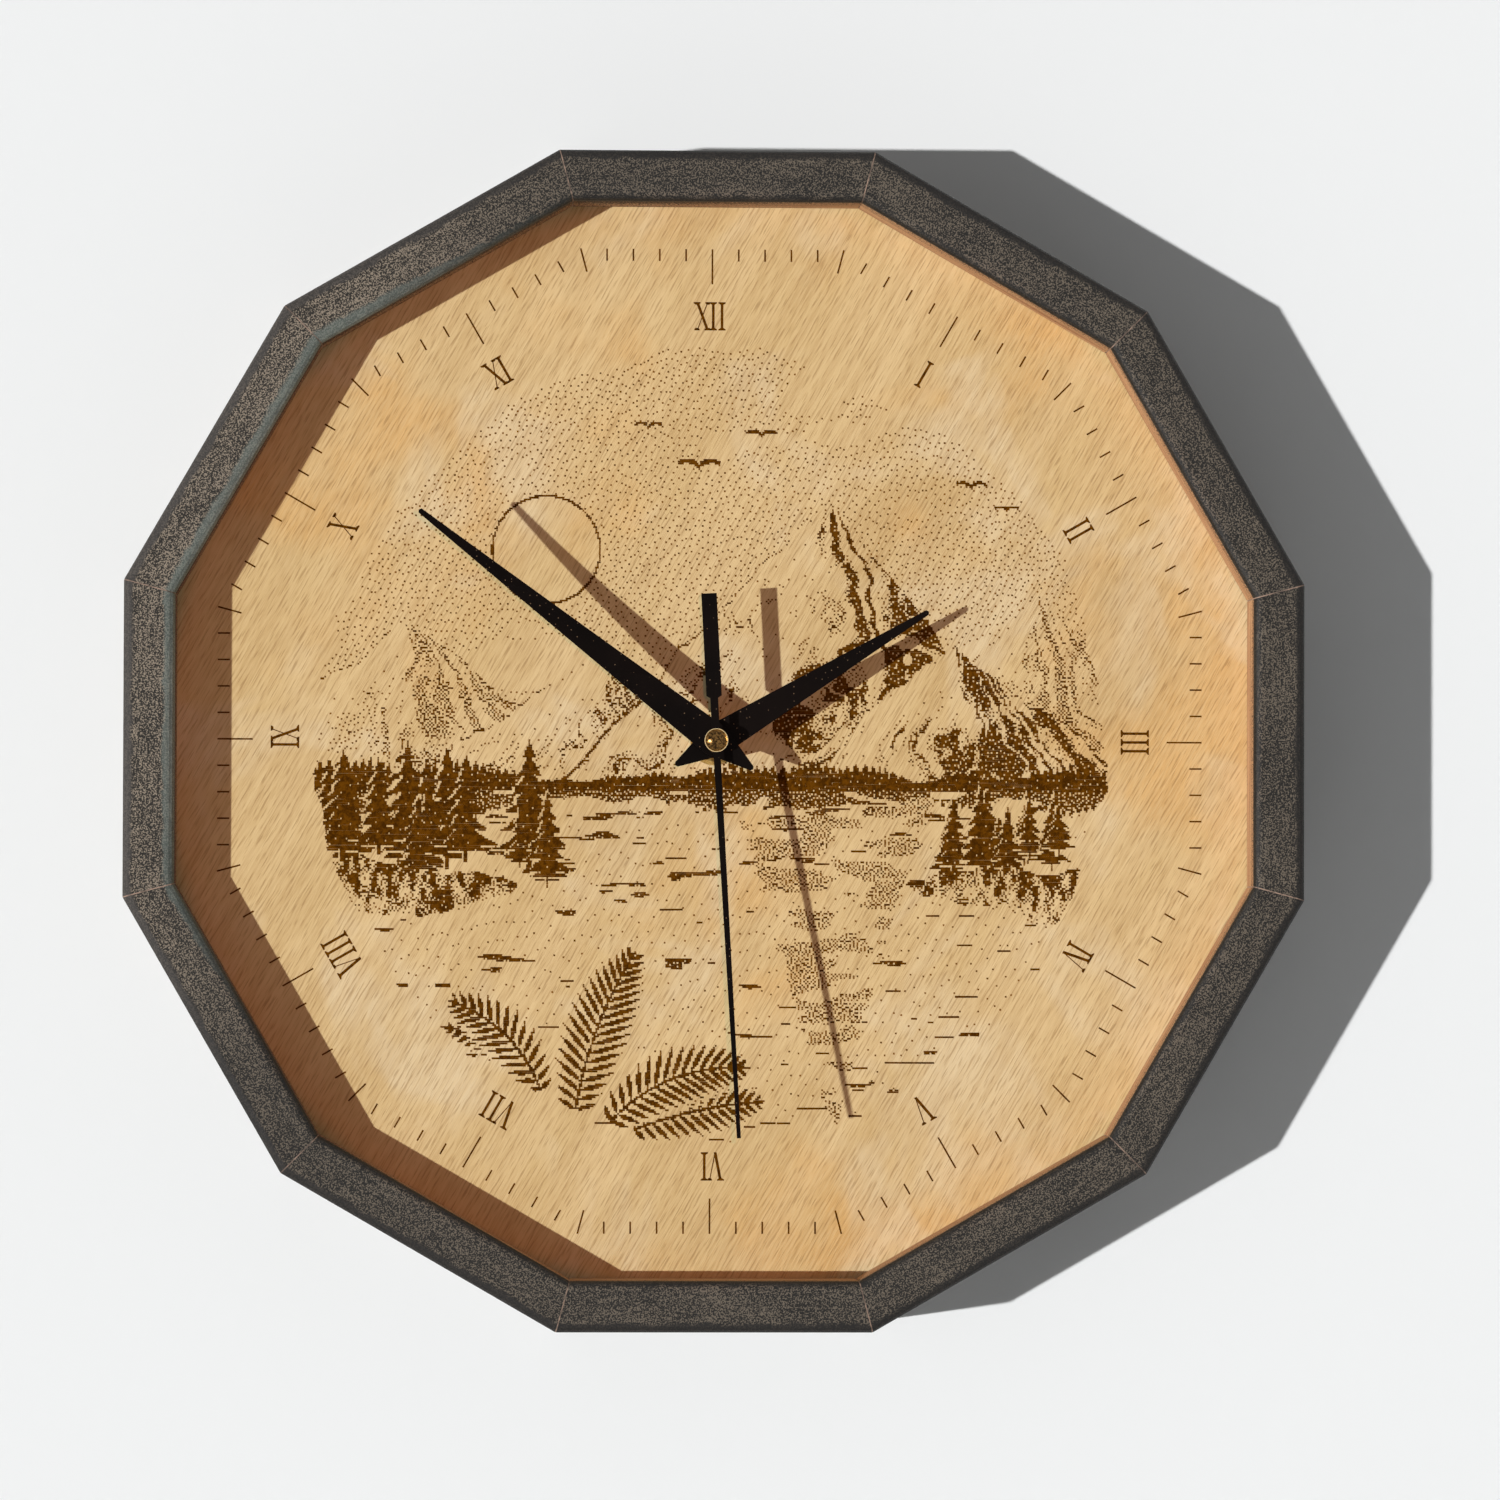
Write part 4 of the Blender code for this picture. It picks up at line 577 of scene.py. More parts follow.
def burnt(name, outlines, proud=MARK_PROUD):
    piece = solid(name, outlines, -MARK_SUNK, proud, on_dial)
    piece.data.materials.append(burn)
    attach(piece, "clock_body")


def burnt_wood(name, dark, light):
    material, tree, shader = new_finish(name)
    char = noise(tree, object_place(tree), CHAR_SCALE, 3.0, 0.7)
    fill(tree, shader, {"Base Color": mixed(tree, spread(tree, char, 0.35, 0.65), dark, light),
                        "Roughness": 0.9, "Specular IOR Level": 0.02})
    bumped(tree, shader, char, 0.00005, 0.6)
    return material


burn = burnt_wood("burnt_wood", rgb(62, 35, 2), rgb(98, 60, 6))
scorch = burnt_wood("scorched_wood", rgb(82, 54, 10), rgb(124, 84, 26))


def turned_points(points, angle, centre=(0.0, 0.0)):
    """Turns points clockwise by angle and moves them to centre."""
    c, s = math.cos(angle), math.sin(angle)
    return [(centre[0] + x * c + y * s, centre[1] - x * s + y * c) for x, y in points]


print("marks sink", MARK_SUNK * 1000, "mm and stand", MARK_PROUD * 1000, "mm proud")

# %% [markdown]
# The minute ring follows the twelve-sided edge of the dial, not a circle. Along each side there are ten equal
# steps: a long tick in the middle, eight short ones square to the side, and a slanted one at each corner.

# %% Minute ring
RING_INRADIUS = 0.1260
RING_SHIFT = (-0.0007, 0.0003)
TICK_WIDTH = 0.00042
LONG_TICK, CORNER_TICK, SHORT_TICK = 0.0090, 0.0062, 0.0031
RING_STEPS = 10


def tick(outer_end, length, angle):
    half = TICK_WIDTH / 2
    box = [(-half, -length), (half, -length), (half, 0), (-half, 0)]
    return turned_points(box, angle, outer_end)


def minute_ring():
    side = 2 * RING_INRADIUS * math.tan(STAVE_STEP / 2)
    ticks = []
    for k in range(STAVES):
        angle = STAVE_STEP * k
        for step in range(-RING_STEPS // 2, RING_STEPS // 2):
            end = turned_points([(side * step / RING_STEPS, RING_INRADIUS)], angle, RING_SHIFT)[0]
            if step == 0:
                ticks.append(tick(end, LONG_TICK, angle))
            elif step == -RING_STEPS // 2:
                ticks.append(tick(end, CORNER_TICK, angle - STAVE_STEP / 2))
            else:
                ticks.append(tick(end, SHORT_TICK, angle))
    return ticks


ticks = minute_ring()
burnt("minute_ring", ticks)
print(len(ticks), "ticks")

# %% [markdown]
# The numerals are condensed Roman capitals with thin serifs, and each stands with its head outward. Blender's
# built-in letter has no serifs, so each letter is drawn from straight strokes: a stem is a bar, a V leans a
# thick bar against a thin one, and an X crosses them.

# %% Roman numerals
NUMERAL_HEIGHT = 0.00725
NUMERAL_RADIUS = 0.1088
STEM = 0.00066
HAIRLINE = 0.00024
SERIF = 0.00030
LEAN = 0.00140           # from the middle of a V to the end of either arm
LETTER_STEP = 0.00225    # between two stems
WIDE_STEP = 0.00276      # between a stem and the middle of a V or an X
THICK_ARM = STEM * 1.1   # the thick arm of a V or an X
FULL_SERIF, X_SERIF, SHORT_SERIF, THIN_SERIF = 0.00092, 0.00088, 0.00066, 0.0006


def stroke(x_low, x_high, width, half=NUMERAL_HEIGHT / 2):
    return [(x_low - width / 2, -half), (x_low + width / 2, -half),
            (x_high + width / 2, half), (x_high - width / 2, half)]


def serif(x, top, reach):
    y = NUMERAL_HEIGHT / 2
    edge, inside, soft = y, y - SERIF, y - 2.2 * SERIF
    sign = 1 if top else -1
    points = [(x - reach, edge * sign), (x - reach, inside * sign), (x - STEM / 2, soft * sign),
              (x + STEM / 2, soft * sign), (x + reach, inside * sign), (x + reach, edge * sign)]
    return points if top else points[::-1]


def letter(kind, x):
    """Two layers of strokes: bars, and the serifs and hairlines over them."""
    if kind == "I":
        return [stroke(x, x, STEM)], [serif(x, top, FULL_SERIF) for top in (True, False)]
    if kind == "V":
        return ([stroke(x, x - LEAN, THICK_ARM)],
                [stroke(x, x + LEAN, HAIRLINE), serif(x - LEAN, True, FULL_SERIF),
                 serif(x + LEAN, True, THIN_SERIF)])
    arm = LEAN * 0.95
    return ([stroke(x + arm, x - arm, THICK_ARM)],
            [stroke(x - arm, x + arm, HAIRLINE), serif(x - LEAN, True, X_SERIF),
             serif(x + LEAN, True, SHORT_SERIF), serif(x - LEAN, False, SHORT_SERIF),
             serif(x + LEAN, False, X_SERIF)])


def spaced(word):
    """Each letter of a numeral with its place, the numeral as a whole being centred."""
    places = [0.0]
    for before, kind in zip(word, word[1:]):
        places.append(places[-1] + (LETTER_STEP if before == kind == "I" else WIDE_STEP))
    return [(kind, at - places[-1] / 2) for kind, at in zip(word, places)]


bars, fine = [], []
for hour, word in enumerate("XII I II III IV V VI VII VIII IX X XI".split()):
    angle = STAVE_STEP * hour
    centre = turned_points([(0, NUMERAL_RADIUS)], angle, RING_SHIFT)[0]
    for kind, x in spaced(word):
        for layer, strokes in zip((bars, fine), letter(kind, x)):
            layer += [turned_points(points, angle, centre) for points in strokes]
burnt("numeral_bars", bars)
burnt("numeral_serifs", fine, MARK_PROUD * 1.3)
print(len(bars) + len(fine), "strokes in twelve numerals")

# %% [markdown]
# A laser engraver burns a picture row by row, and each dot is either burnt or bare. The picture here is a
# mountain lake, written as a function that says how dark each place on the dial is. It starts from smooth
# random patches, which are then cut into three shades as in a woodcut: bare, strewn with dots, and solid.
# Gullies on a mountain fan out from its top, so the patches are drawn over that fan and not over x and y.

# %% Shades of a mountain lake
DOT = 0.00047
PICTURE_RADIUS = 0.1045
SKY_TONE = 0.075
SHORE = -0.012
SHORE_OVERLAP = 0.0004   # how far the far wood reaches down over the lake
SUMMIT_ROOM = 0.006      # widens the fan at a summit, which would otherwise come to a point
SUN_PLACE, SUN_RADIUS, SUN_RIM = (-0.043, 0.049), 0.0135, 0.0006
PEAKS = (                # top, slopes of both sides, how dark, seed
    ((-0.078, 0.030), (1.5, 1.3), 0.55, 5), ((0.083, 0.036), (1.2, 1.2), 0.55, 9),
    ((-0.030, 0.021), (1.6, 1.5), 0.75, 14), ((0.029, 0.062), (0.95, 0.80), 1.0, 23),
    ((0.062, 0.024), (1.5, 1.4), 1.0, 31))


def patches(x, y, size, seed, octaves=3):
    """Smooth random values from 0 to 1 in blots about size across, with finer and fainter ones added."""
    total, weight = 0.0, 0.0
    for octave in range(octaves):
        table = np.random.default_rng(seed + octave).random((256, 256))
        u, v = x / size * 2 ** octave + 128, y / size * 2 ** octave + 128
        column, row = np.floor(u).astype(int), np.floor(v).astype(int)
        across, up = u - column, v - row
        across, up = across * across * (3 - 2 * across), up * up * (3 - 2 * up)
        column, row = column % 255, row % 255
        low = table[row, column] * (1 - across) + table[row, column + 1] * across
        high = table[row + 1, column] * (1 - across) + table[row + 1, column + 1] * across
        total = total + (low * (1 - up) + high * up) / 2 ** octave
        weight += 1 / 2 ** octave
    return total / weight


def posterised(value, low, high, pale, middle, dark):
    """Three shades, as in a woodcut: pale under low, dark over high, and middle between."""
    return np.where(value > high, dark, np.where(value > low, middle, pale))


def peak(x, y, top, slopes, dark, seed, tone):
    """One mountain: gullies fan down from its top, lit from the left."""
    below = top[1] - y
    deep = below + SUMMIT_ROOM
    fan = (x - top[0]) / deep
    jag = 0.0075 * (patches(x, y * 0.2, 0.009, seed + 40, 4) - 0.5)
    edge = np.where(fan < 0, -fan / slopes[0], fan / slopes[1]) * deep / np.maximum(below + jag, 1e-6)
    inside = (below + jag > 0) & (edge < 1) & (y > SHORE)
    bent = fan + 0.5 * (patches(x, y, 0.011, seed + 60, 4) - 0.5)
    rock = (1.1 * (patches(bent * 2.4, below * 1.1, 0.13, seed, 4) - 0.5)
            + 0.7 * (patches(x, y, 0.006, seed + 8, 3) - 0.5))
    spur = 0.16 * np.sin(below * 130 + seed) + 0.07 * np.sin(below * 390)
    shade = np.where(bent > spur, 0.60, 0.34) + 1.2 * rock
    shade = shade - 0.45 * np.clip(1 - below / 0.022, 0, 1) * (bent < spur)
    body = posterised(shade, 0.46, 0.66, 0.01, 0.27 * dark, 0.86 * dark)
    body = np.where(edge > 0.985, 0.9, body)
    return np.where(inside, body, tone)


def lake_picture(x, y):
    cloud = patches(x, y * 2.4, 0.05, 3, 4)
    tone = np.where(cloud > 0.60, 0.0, SKY_TONE + 0.08 * (0.5 - cloud))
    sun = np.hypot(x - SUN_PLACE[0], y - SUN_PLACE[1])
    tone = np.where(sun < SUN_RADIUS, 0.0, np.where(sun < SUN_RADIUS + SUN_RIM, 0.9, tone))
    for top, slopes, dark, seed in PEAKS:
        tone = peak(x, y, top, slopes, dark, seed, tone)
    saw = np.abs(np.mod(x * 520 + 2 * patches(x, x * 0, 0.01, 50), 1.0) - 0.5)
    trees = SHORE + 0.0012 + 0.0075 * patches(x, x * 0, 0.013, 51) * (0.55 + saw)
    tone = np.where((y < trees) & (y > SHORE - SHORE_OVERLAP), 0.93, tone)
    away = SHORE - y
    ripple = patches(x * 0.14, y, 0.0013, 60, 2)
    lake = np.where(ripple > 0.80 - 0.07 * np.clip(1 - away / 0.03, 0, 1), 0.85, 0.02)
    glint = patches(x * 0.3, y, 0.0026, 62, 2)
    mirror = (np.abs(x - 0.030 - 0.006 * (glint - 0.5)) < 0.026 - 0.30 * away) & (glint > 0.50)
    lake = np.where(mirror, 0.40, lake)
    lake = np.where((trees - SHORE) * 1.1 > away, np.where(glint > 0.42, 0.75, lake), lake)
    return np.where(y < SHORE - SHORE_OVERLAP, lake, tone)


print(len(PEAKS), "mountains, shore at", SHORE * 1000, "mm")

# %% [markdown]
# The woods at both sides and the ferns in front are solid burns, which give the picture its dark weight. Each
# pine stands at its own height, drawn from a seeded list, so the picture is the same on every run. Every
# frond clears a thin edge round itself before it is drawn, as an engraver would, to stand off from the lake.

# %% Woods, ferns and birds
PINES = 34
BANK, BANK_SLOPE, BANK_END = -0.030, 0.10, 0.104
LEAFLET_STEP = 0.0024
STEM_LEAF = 0.0034       # longer than a step, so that the stem is whole
LEAFLET_HALF, STEM_HALF, CLEAR_HALF = 0.00062, 0.0004, 0.0019
FERNS = (                # root, angle, length, bend
    ((-0.052, -0.082), 2.30, 0.020, 0.8), ((-0.020, -0.099), 0.35, 0.034, -0.3),
    ((-0.044, -0.089), 1.95, 0.034, 0.9), ((-0.026, -0.097), 0.80, 0.040, -0.9),
    ((-0.035, -0.094), 1.40, 0.044, -0.4))
BIRDS = (((-0.004, 0.071), 0.011), ((0.012, 0.079), 0.008), ((-0.017, 0.081), 0.007),
         ((0.066, 0.066), 0.008), ((0.075, 0.060), 0.006))


def pine(x, y, at, foot, height):
    """True inside a pine: drooping ragged skirts on a thin trunk."""
    up = (y - foot) / height
    skirt = np.mod(up * 7.0 + 0.6 * np.abs(x - at) / height, 1.0)
    ragged = 0.75 + 0.5 * patches(x, y, 0.0016, 70, 1)
    half = height * 0.25 * (1.03 - up) * (1.2 - 0.75 * skirt) * ragged
    crown = (np.abs(x - at) < half) & (up > 0.07) & (up < 1)
    trunk = (np.abs(x - at) < height * 0.018) & (up >= -0.03) & (up <= 0.2)
    return crown | trunk


def woods(x, y, tone):
    draw = np.random.default_rng(17)
    bank = BANK - BANK_SLOPE * (BANK_END - np.abs(x)) + 0.006 * (patches(x, x * 0, 0.012, 80) - 0.5)
    for i in range(PINES):
        left = i % 2 == 0
        at = -draw.uniform(0.042, 0.103) if left else draw.uniform(0.060, 0.103)
        foot = BANK - BANK_SLOPE * (BANK_END - abs(at)) + draw.uniform(-0.002, 0.004)
        tall = draw.uniform(0.015, 0.036) if left else draw.uniform(0.011, 0.024)
        clear_edge = pine(x + 0.0005, y, at, foot - 0.0005, tall * 1.05)
        tone = np.where(clear_edge, 0.0, tone)
        tone = np.where(pine(x, y, at, foot, tall), 0.97, tone)
    deep = bank - y
    reach = np.clip((np.abs(x) - 0.050) / 0.05, 0, 1)
    tufts = patches(x * 2.5, y, 0.0035, 81, 3) + 0.25 * (1 - deep / 0.012)
    grass = posterised(tufts, 0.52, 0.70, 0.10, 0.45, 0.92)
    return np.where((deep > 0) & (deep < 0.016 * reach ** 0.5) & (reach > 0), grass, tone)


def leaf(x, y, root, angle, length, half):
    """True inside a pointed leaf that starts at its root, half its width being half."""
    dx, dy = x - root[0], y - root[1]
    along = (dx * math.cos(angle) + dy * math.sin(angle)) / length
    aside = np.abs(-dx * math.sin(angle) + dy * math.cos(angle))
    return (along > 0) & (along < 1) & (aside < half * np.sin(math.pi * np.clip(along, 0, 1) ** 0.8))


def frond(x, y, root, angle, length, bend, tone):
    """A fern frond: a bending stem with pairs of leaflets, and a clear edge against what lies behind."""
    at, heading = list(root), angle
    pairs = int(length / LEAFLET_STEP)
    leaflets = []
    for i in range(pairs):
        share = i / pairs
        size = length * 0.25 * math.sin(math.pi * (0.14 + 0.82 * share)) ** 0.8
        leaflets += [(tuple(at), heading + side * (1.15 - 0.5 * share), size) for side in (1, -1)]
        leaflets.append((tuple(at), heading, STEM_LEAF))
        at = [at[0] + LEAFLET_STEP * math.cos(heading), at[1] + LEAFLET_STEP * math.sin(heading)]
        heading += bend / pairs
    for place, way, size in leaflets:
        tone = np.where(leaf(x, y, place, way, size * 1.15, CLEAR_HALF), 0.0, tone)
    for place, way, size in leaflets:
        half = LEAFLET_HALF if size > STEM_LEAF else STEM_HALF
        tone = np.where(leaf(x, y, place, way, size, half), 1.0, tone)
    return tone


def bird(x, y, at, span, tone):
    dx, dy = (x - at[0]) / span, (y - at[1]) / span
    wing = 0.34 * np.sqrt(np.clip(1 - (np.abs(dx) * 2 - 0.55) ** 2 / 0.3, 0, 1))
    inside = (np.abs(dx) < 0.5) & (np.abs(dy - wing * 0.55 + 0.1) < 0.05 + 0.03 * (0.5 - np.abs(dx)))
    return np.where(inside, 1.0, tone)


def whole_picture(x, y):
    tone = woods(x, y, lake_picture(x, y))
    for root, angle, length, bend in FERNS:
        tone = frond(x, y, root, angle, length, bend, tone)
    for at, span in BIRDS:
        tone = bird(x, y, at, span, tone)
    rim = np.hypot(x, y) + 0.007 * (patches(x, y, 0.012, 31) - 0.5)
    return np.where(rim > PICTURE_RADIUS - 0.0035, 0.0, tone)


print(PINES, "pines,", len(FERNS), "fern leaves and", len(BIRDS), "birds")

# %% [markdown]
# Greys between bare and burnt come from how dense the dots are: each dot passes its error on to its
# neighbours. With a plain threshold the dots of the sky would line up in rows, so the threshold is uneven.
# A lone dot gets less heat than a row of them, so lone dots are smaller and paler.

# %% Burn it row by row
DOT_JITTER = 0.09        # as a share of a dot
ROW_GROWTH, LONE_GROWTH = 1.04, 0.94    # a row burns wider than its dots, and a lone dot smaller


def strewn(tone, seed):
    """Burns or skips each dot in turn and hands its error on, with an uneven threshold."""
    draw = np.random.default_rng(seed)
    rows, columns = tone.shape
    left = tone.copy()
    threshold = draw.uniform(0.25, 0.75, tone.shape)
    found = np.zeros(tone.shape, bool)
    for r in range(rows):
        way = 1 if r % 2 == 0 else -1
        line, limit = left[r].tolist(), threshold[r].tolist()
        below = [0.0] * (columns + 2)
        carry = 0.0
        for c in range(columns)[::way]:
            value = line[c] + carry
            found[r, c] = value > limit[c]
            error = value - 1.0 if value > limit[c] else value
            carry = error * 7 / 16
            below[c + 1 - way] += error * 3 / 16
            below[c + 1] += error * 5 / 16
            below[c + 1 + way] += error / 16
        if r + 1 < rows:
            left[r + 1] += np.array(below[1:-1]) * (tone[r + 1] > 0)
    return found & (tone > 0)


def runs_of(dots):
    """Neighbouring burnt dots of a row as (row, first, last)."""
    found = []
    for r, row in enumerate(dots):
        edges = np.flatnonzero(np.diff(np.concatenate(([0], row.astype(np.int8), [0]))))
        found += [(r, first, last) for first, last in zip(edges[::2], edges[1::2])]
    return found


across = np.arange(-PICTURE_RADIUS, PICTURE_RADIUS, DOT)
tones = np.clip(whole_picture(*np.meshgrid(across, across[::-1])), 0, 1)
dots = strewn(tones, 4)
runs = runs_of(dots)
print(int(dots.sum()), "dots in", len(runs), "runs, mean tone", round(float(dots.mean()), 3))


def burn_rows(name, runs, finish, growth, seed):
    """One closed low box for each run, its corners drawn a little off so that no two dots are alike."""
    draw = np.random.default_rng(seed)
    count = len(runs)
    r, first, last = np.array(runs).T
    half = DOT * 0.5
    x0, x1 = across[first] - half, across[last - 1] + half
    y = across[::-1][r]
    y0, y1 = y - half, y + half
    square = np.stack([x0, y0, x1, y0, x1, y1, x0, y1], 1).reshape(count, 4, 2)
    middle = square.mean(1, keepdims=True)
    jitter = draw.uniform(-DOT_JITTER, DOT_JITTER, square.shape) * DOT
    corners = middle + (square - middle) * growth + jitter
    points = np.zeros((count, 8, 3))
    points[:, :4, 0::2] = points[:, 4:, 0::2] = corners
    points[:, :4, 1] = -DIAL_FRONT + MARK_SUNK
    points[:, 4:, 1] = (-DIAL_FRONT - MARK_PROUD * draw.uniform(0.7, 1.3, count))[:, None]
    faces = np.array([[3, 2, 1, 0], [4, 5, 6, 7], [0, 1, 5, 4], [1, 2, 6, 5], [2, 3, 7, 6], [3, 0, 4, 7]])
    every = (faces[None] + 8 * np.arange(count)[:, None, None]).reshape(-1, 4)
    mesh = bpy.data.meshes.new(name)
    mesh.from_pydata(points.reshape(-1, 3).tolist(), [], every.tolist())
    mesh.materials.append(finish)
    piece = linked(name, mesh)
    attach(piece, "clock_body")
    return len(every)


long_runs = [run for run in runs if run[2] - run[1] > 1]
single_dots = [run for run in runs if run[2] - run[1] == 1]
faces = (burn_rows("engraved_picture", long_runs, burn, ROW_GROWTH, 9)
         + burn_rows("engraved_stipple", single_dots, scorch, LONE_GROWTH, 10))
print(faces, "faces in the picture")

# %% [markdown]
# The hands are stamped steel in satin black, a near black that still shows a soft edge. A small bevel catches
# light along the rims of the two broad hands. The second hand is too slim for one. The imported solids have
# split vertices, so a Weld comes before the Bevel.

# %% Hands
HAND_BEVEL, NUT_BEVEL, CASE_BEVEL = 0.00012, 0.0001, 0.0002
BEVEL_ANGLE = math.radians(35)
WELD_GAP = 0.000002
DUST_GRAINS = 1250       # places for a grain of dust, to the metre
DUST_LUCK = 0.78         # a place keeps its grain where its random value is above this
DUST_INSIDE, DUST_OUTSIDE, DUST_COVER = 0.10, 0.22, 0.7


def soften(width, *names):
    for name in names:
        weld = nodes[name].modifiers.new("weld", "WELD")
        weld.merge_threshold = WELD_GAP
        bevel = nodes[name].modifiers.new("soft_edges", "BEVEL")
        bevel.width = width
        bevel.segments = 2
        bevel.limit_method = "ANGLE"
        bevel.angle_limit = BEVEL_ANGLE


def hand_black():
    """Satin black with a few grains of dust."""
    material, tree, shader = new_finish("hand_black")
    place = object_place(tree)
    black = mixed(tree, spread(tree, noise(tree, place, 60), 0.3, 0.7), rgb(10, 7, 6), rgb(17, 12, 10))
    grains = add(tree, "TexVoronoi", {"Vector": place, "Scale": DUST_GRAINS})
    lucky = add(tree, "SeparateColor", {0: grains.outputs["Color"]}).outputs[0]
    near = spread(tree, grains.outputs["Distance"], DUST_OUTSIDE, DUST_INSIDE)
    dust = arithmetic(tree, "MULTIPLY", near, arithmetic(tree, "GREATER_THAN", lucky, DUST_LUCK))
    cover = arithmetic(tree, "MULTIPLY", dust, DUST_COVER)
    sheen = spread(tree, noise(tree, place, 500, 3.0), 0.3, 0.7, 0.42, 0.55)
    fill(tree, shader, {"Base Color": mixed(tree, cover, black, rgb(140, 118, 92)), "Roughness": sheen,
                        "Specular IOR Level": 0.03})
    bumped(tree, shader, noise(tree, place, 2600), 0.00003, 0.25)
    return material


coat(hand_black(), "hour_hand", "minute_hand", "second_hand")
soften(HAND_BEVEL, "hour_hand", "minute_hand")
print("three hands")

# %% [markdown]
# The cap of the second hand is a turned brass button with a polished rim and a brushed dome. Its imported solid
# is a coarse dome, so a finer one takes its place: a half profile turned round the centre line. The bush
# below it gets its real fine thread the same way, from rings a tenth of a millimetre apart.

# %% Turned pieces
SHARP_ANGLE = math.radians(40)


def turned(name, profile, back, steps=96, cut=None):
    """Turns a (radius, height) profile round the clock's centre line. Height grows towards the viewer, and a
    profile ends on that line or where it began. cut(radius, height, turn) may take some off the radius."""
    rings = []
    made = bmesh.new()
    for radius, height in profile:
        if rings and (radius, height) == profile[0]:
            rings.append(rings[0])
            continue
        ring = []
        for i in range(steps if radius else 1):
            r = radius - (cut(radius, height, i / steps) if cut else 0.0)
            angle = 2 * math.pi * i / steps
            ring.append(made.verts.new((r * math.sin(angle), -back - height, r * math.cos(angle))))
        rings.append(ring)
    for near, far in zip(rings, rings[1:]):
        for i in range(steps):
            j = (i + 1) % steps
            corners = [near[i % len(near)], near[j % len(near)], far[j % len(far)], far[i % len(far)]]
            made.faces.new(list(dict.fromkeys(corners)))
    bmesh.ops.recalc_face_normals(made, faces=made.faces)
    piece = piece_of(name, made)
    piece.data.shade_smooth()
    piece.data.set_sharp_from_angle(angle=SHARP_ANGLE)
    return piece


def brass(name, brightness, rough):
    """Tarnished brass, its colours dimmed by brightness."""
    material, tree, shader = new_finish(name)
    tarnish = noise(tree, object_place(tree), 700, 4.0, 0.7)
    light, dark = [tuple(v * brightness for v in colour[:3]) + (1,)
                   for colour in (rgb(222, 184, 112), rgb(150, 112, 58))]
    fill(tree, shader, {"Base Color": mixed(tree, spread(tree, tarnish, 0.35, 0.7), light, dark),
                        "Metallic": 1.0,
                        "Roughness": spread(tree, tarnish, 0.3, 0.7, rough - 0.08, rough + 0.14)})
    bumped(tree, shader, tarnish, 0.00004, 0.4)
    return material


cap_low, cap_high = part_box("second_hand_cap")
CAP_RADIUS = cap_high.x
CAP_BACK = -cap_high.y
CAP_HEIGHT = cap_high.y - cap_low.y
CAP_EDGE = CAP_RADIUS - 0.00026         # where the dome ends and the rim begins
CAP_SPHERE = 0.0045      # radius of the dome
RIM_TOP = 0.00042
SOCKET_RADIUS, SOCKET_DEPTH = 0.0007, 0.0006


def button_profile():
    """From the middle of the dome over the rim and down to the socket."""
    reach = math.asin(CAP_EDGE / CAP_SPHERE)
    dome = [(CAP_SPHERE * math.sin(reach * i / 12), CAP_HEIGHT - CAP_SPHERE * (1 - math.cos(reach * i / 12)))
            for i in range(13)]
    rim = [(CAP_EDGE + 0.00004, RIM_TOP - 0.00008), (CAP_EDGE + 0.00009, RIM_TOP),
           (CAP_RADIUS - 0.00007, RIM_TOP), (CAP_RADIUS, RIM_TOP - 0.00012)]
    under = [(CAP_RADIUS, 0.0001), (CAP_RADIUS - 0.0001, 0.0), (SOCKET_RADIUS, 0.0),
             (SOCKET_RADIUS, SOCKET_DEPTH), (0, SOCKET_DEPTH)]
    return dome + rim + under


def button_brass():
    """Tarnish and a painted dark reflection over the dome, rubbed bright brass on the rim from CAP_EDGE."""
    material, tree, shader = new_finish("button_brass")
    place = object_place(tree)
    flat = add(tree, "VectorMath", {0: place, 1: (1, 0, 1)}, operation="MULTIPLY").outputs[0]
    radius = add(tree, "VectorMath", {0: flat}, operation="LENGTH").outputs[1]
    tarnish = noise(tree, place, 1500, 3.0, 0.75)
    # Tarnish mottling and a painted reflection of a dark room make the dome dark brown.
    tarnish_and_dark_reflection = mixed(tree, spread(tree, tarnish, 0.38, 0.62), rgb(38, 26, 15), rgb(116, 86, 48))
    rubbed = spread(tree, radius, CAP_EDGE - 0.0001, CAP_EDGE + 0.00005)
    fill(tree, shader, {"Base Color": mixed(tree, rubbed, tarnish_and_dark_reflection, rgb(246, 220, 170)), "Metallic": 1.0,
                        "Roughness": spread(tree, tarnish, 0.3, 0.7, 0.14, 0.30)})
    bumped(tree, shader, tarnish, 0.00003, 0.5)
    return material


cap = turned("second_hand_button", button_profile(), CAP_BACK)
cap.data.materials.append(button_brass())
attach(cap, "second")
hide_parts("second_hand_cap")
print("cap radius", round(CAP_RADIUS * 1000, 2), "mm")

# %% [markdown]
# The thread's radius depends on the height and on the turn together, so its crests climb as on a real screw.
# It fades out at the collar and at the mouth of the bush. The washer and the nut get the same brass.

# %% Threaded bush
bush_low, bush_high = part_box("threaded_bush")
BUSH_BACK = -bush_high.y
BUSH_LENGTH = bush_high.y - bush_low.y
BUSH_COLLAR = bush_high.x
COLLAR_TOP = 0.0006
BUSH_RADIUS, BUSH_BORE = 0.0040, 0.0028
THREAD_PITCH, THREAD_DEPTH = 0.00075, 0.00040
THREAD_STEP = THREAD_PITCH / 8
THREAD_END = 0.0004      # chamfer at the mouth


def thread(radius, height, turn):
    """How much the thread takes off the bush at this height and turn, fading out at both ends."""
    if abs(radius - BUSH_RADIUS) > 0.00001:
        return 0.0
    wave = (height / THREAD_PITCH - turn) % 1.0
    fade = min(1.0, (BUSH_LENGTH - THREAD_END - height) / 0.0003, (height - COLLAR_TOP) / 0.001)
    return THREAD_DEPTH * abs(2 * wave - 1) * max(0.0, fade)


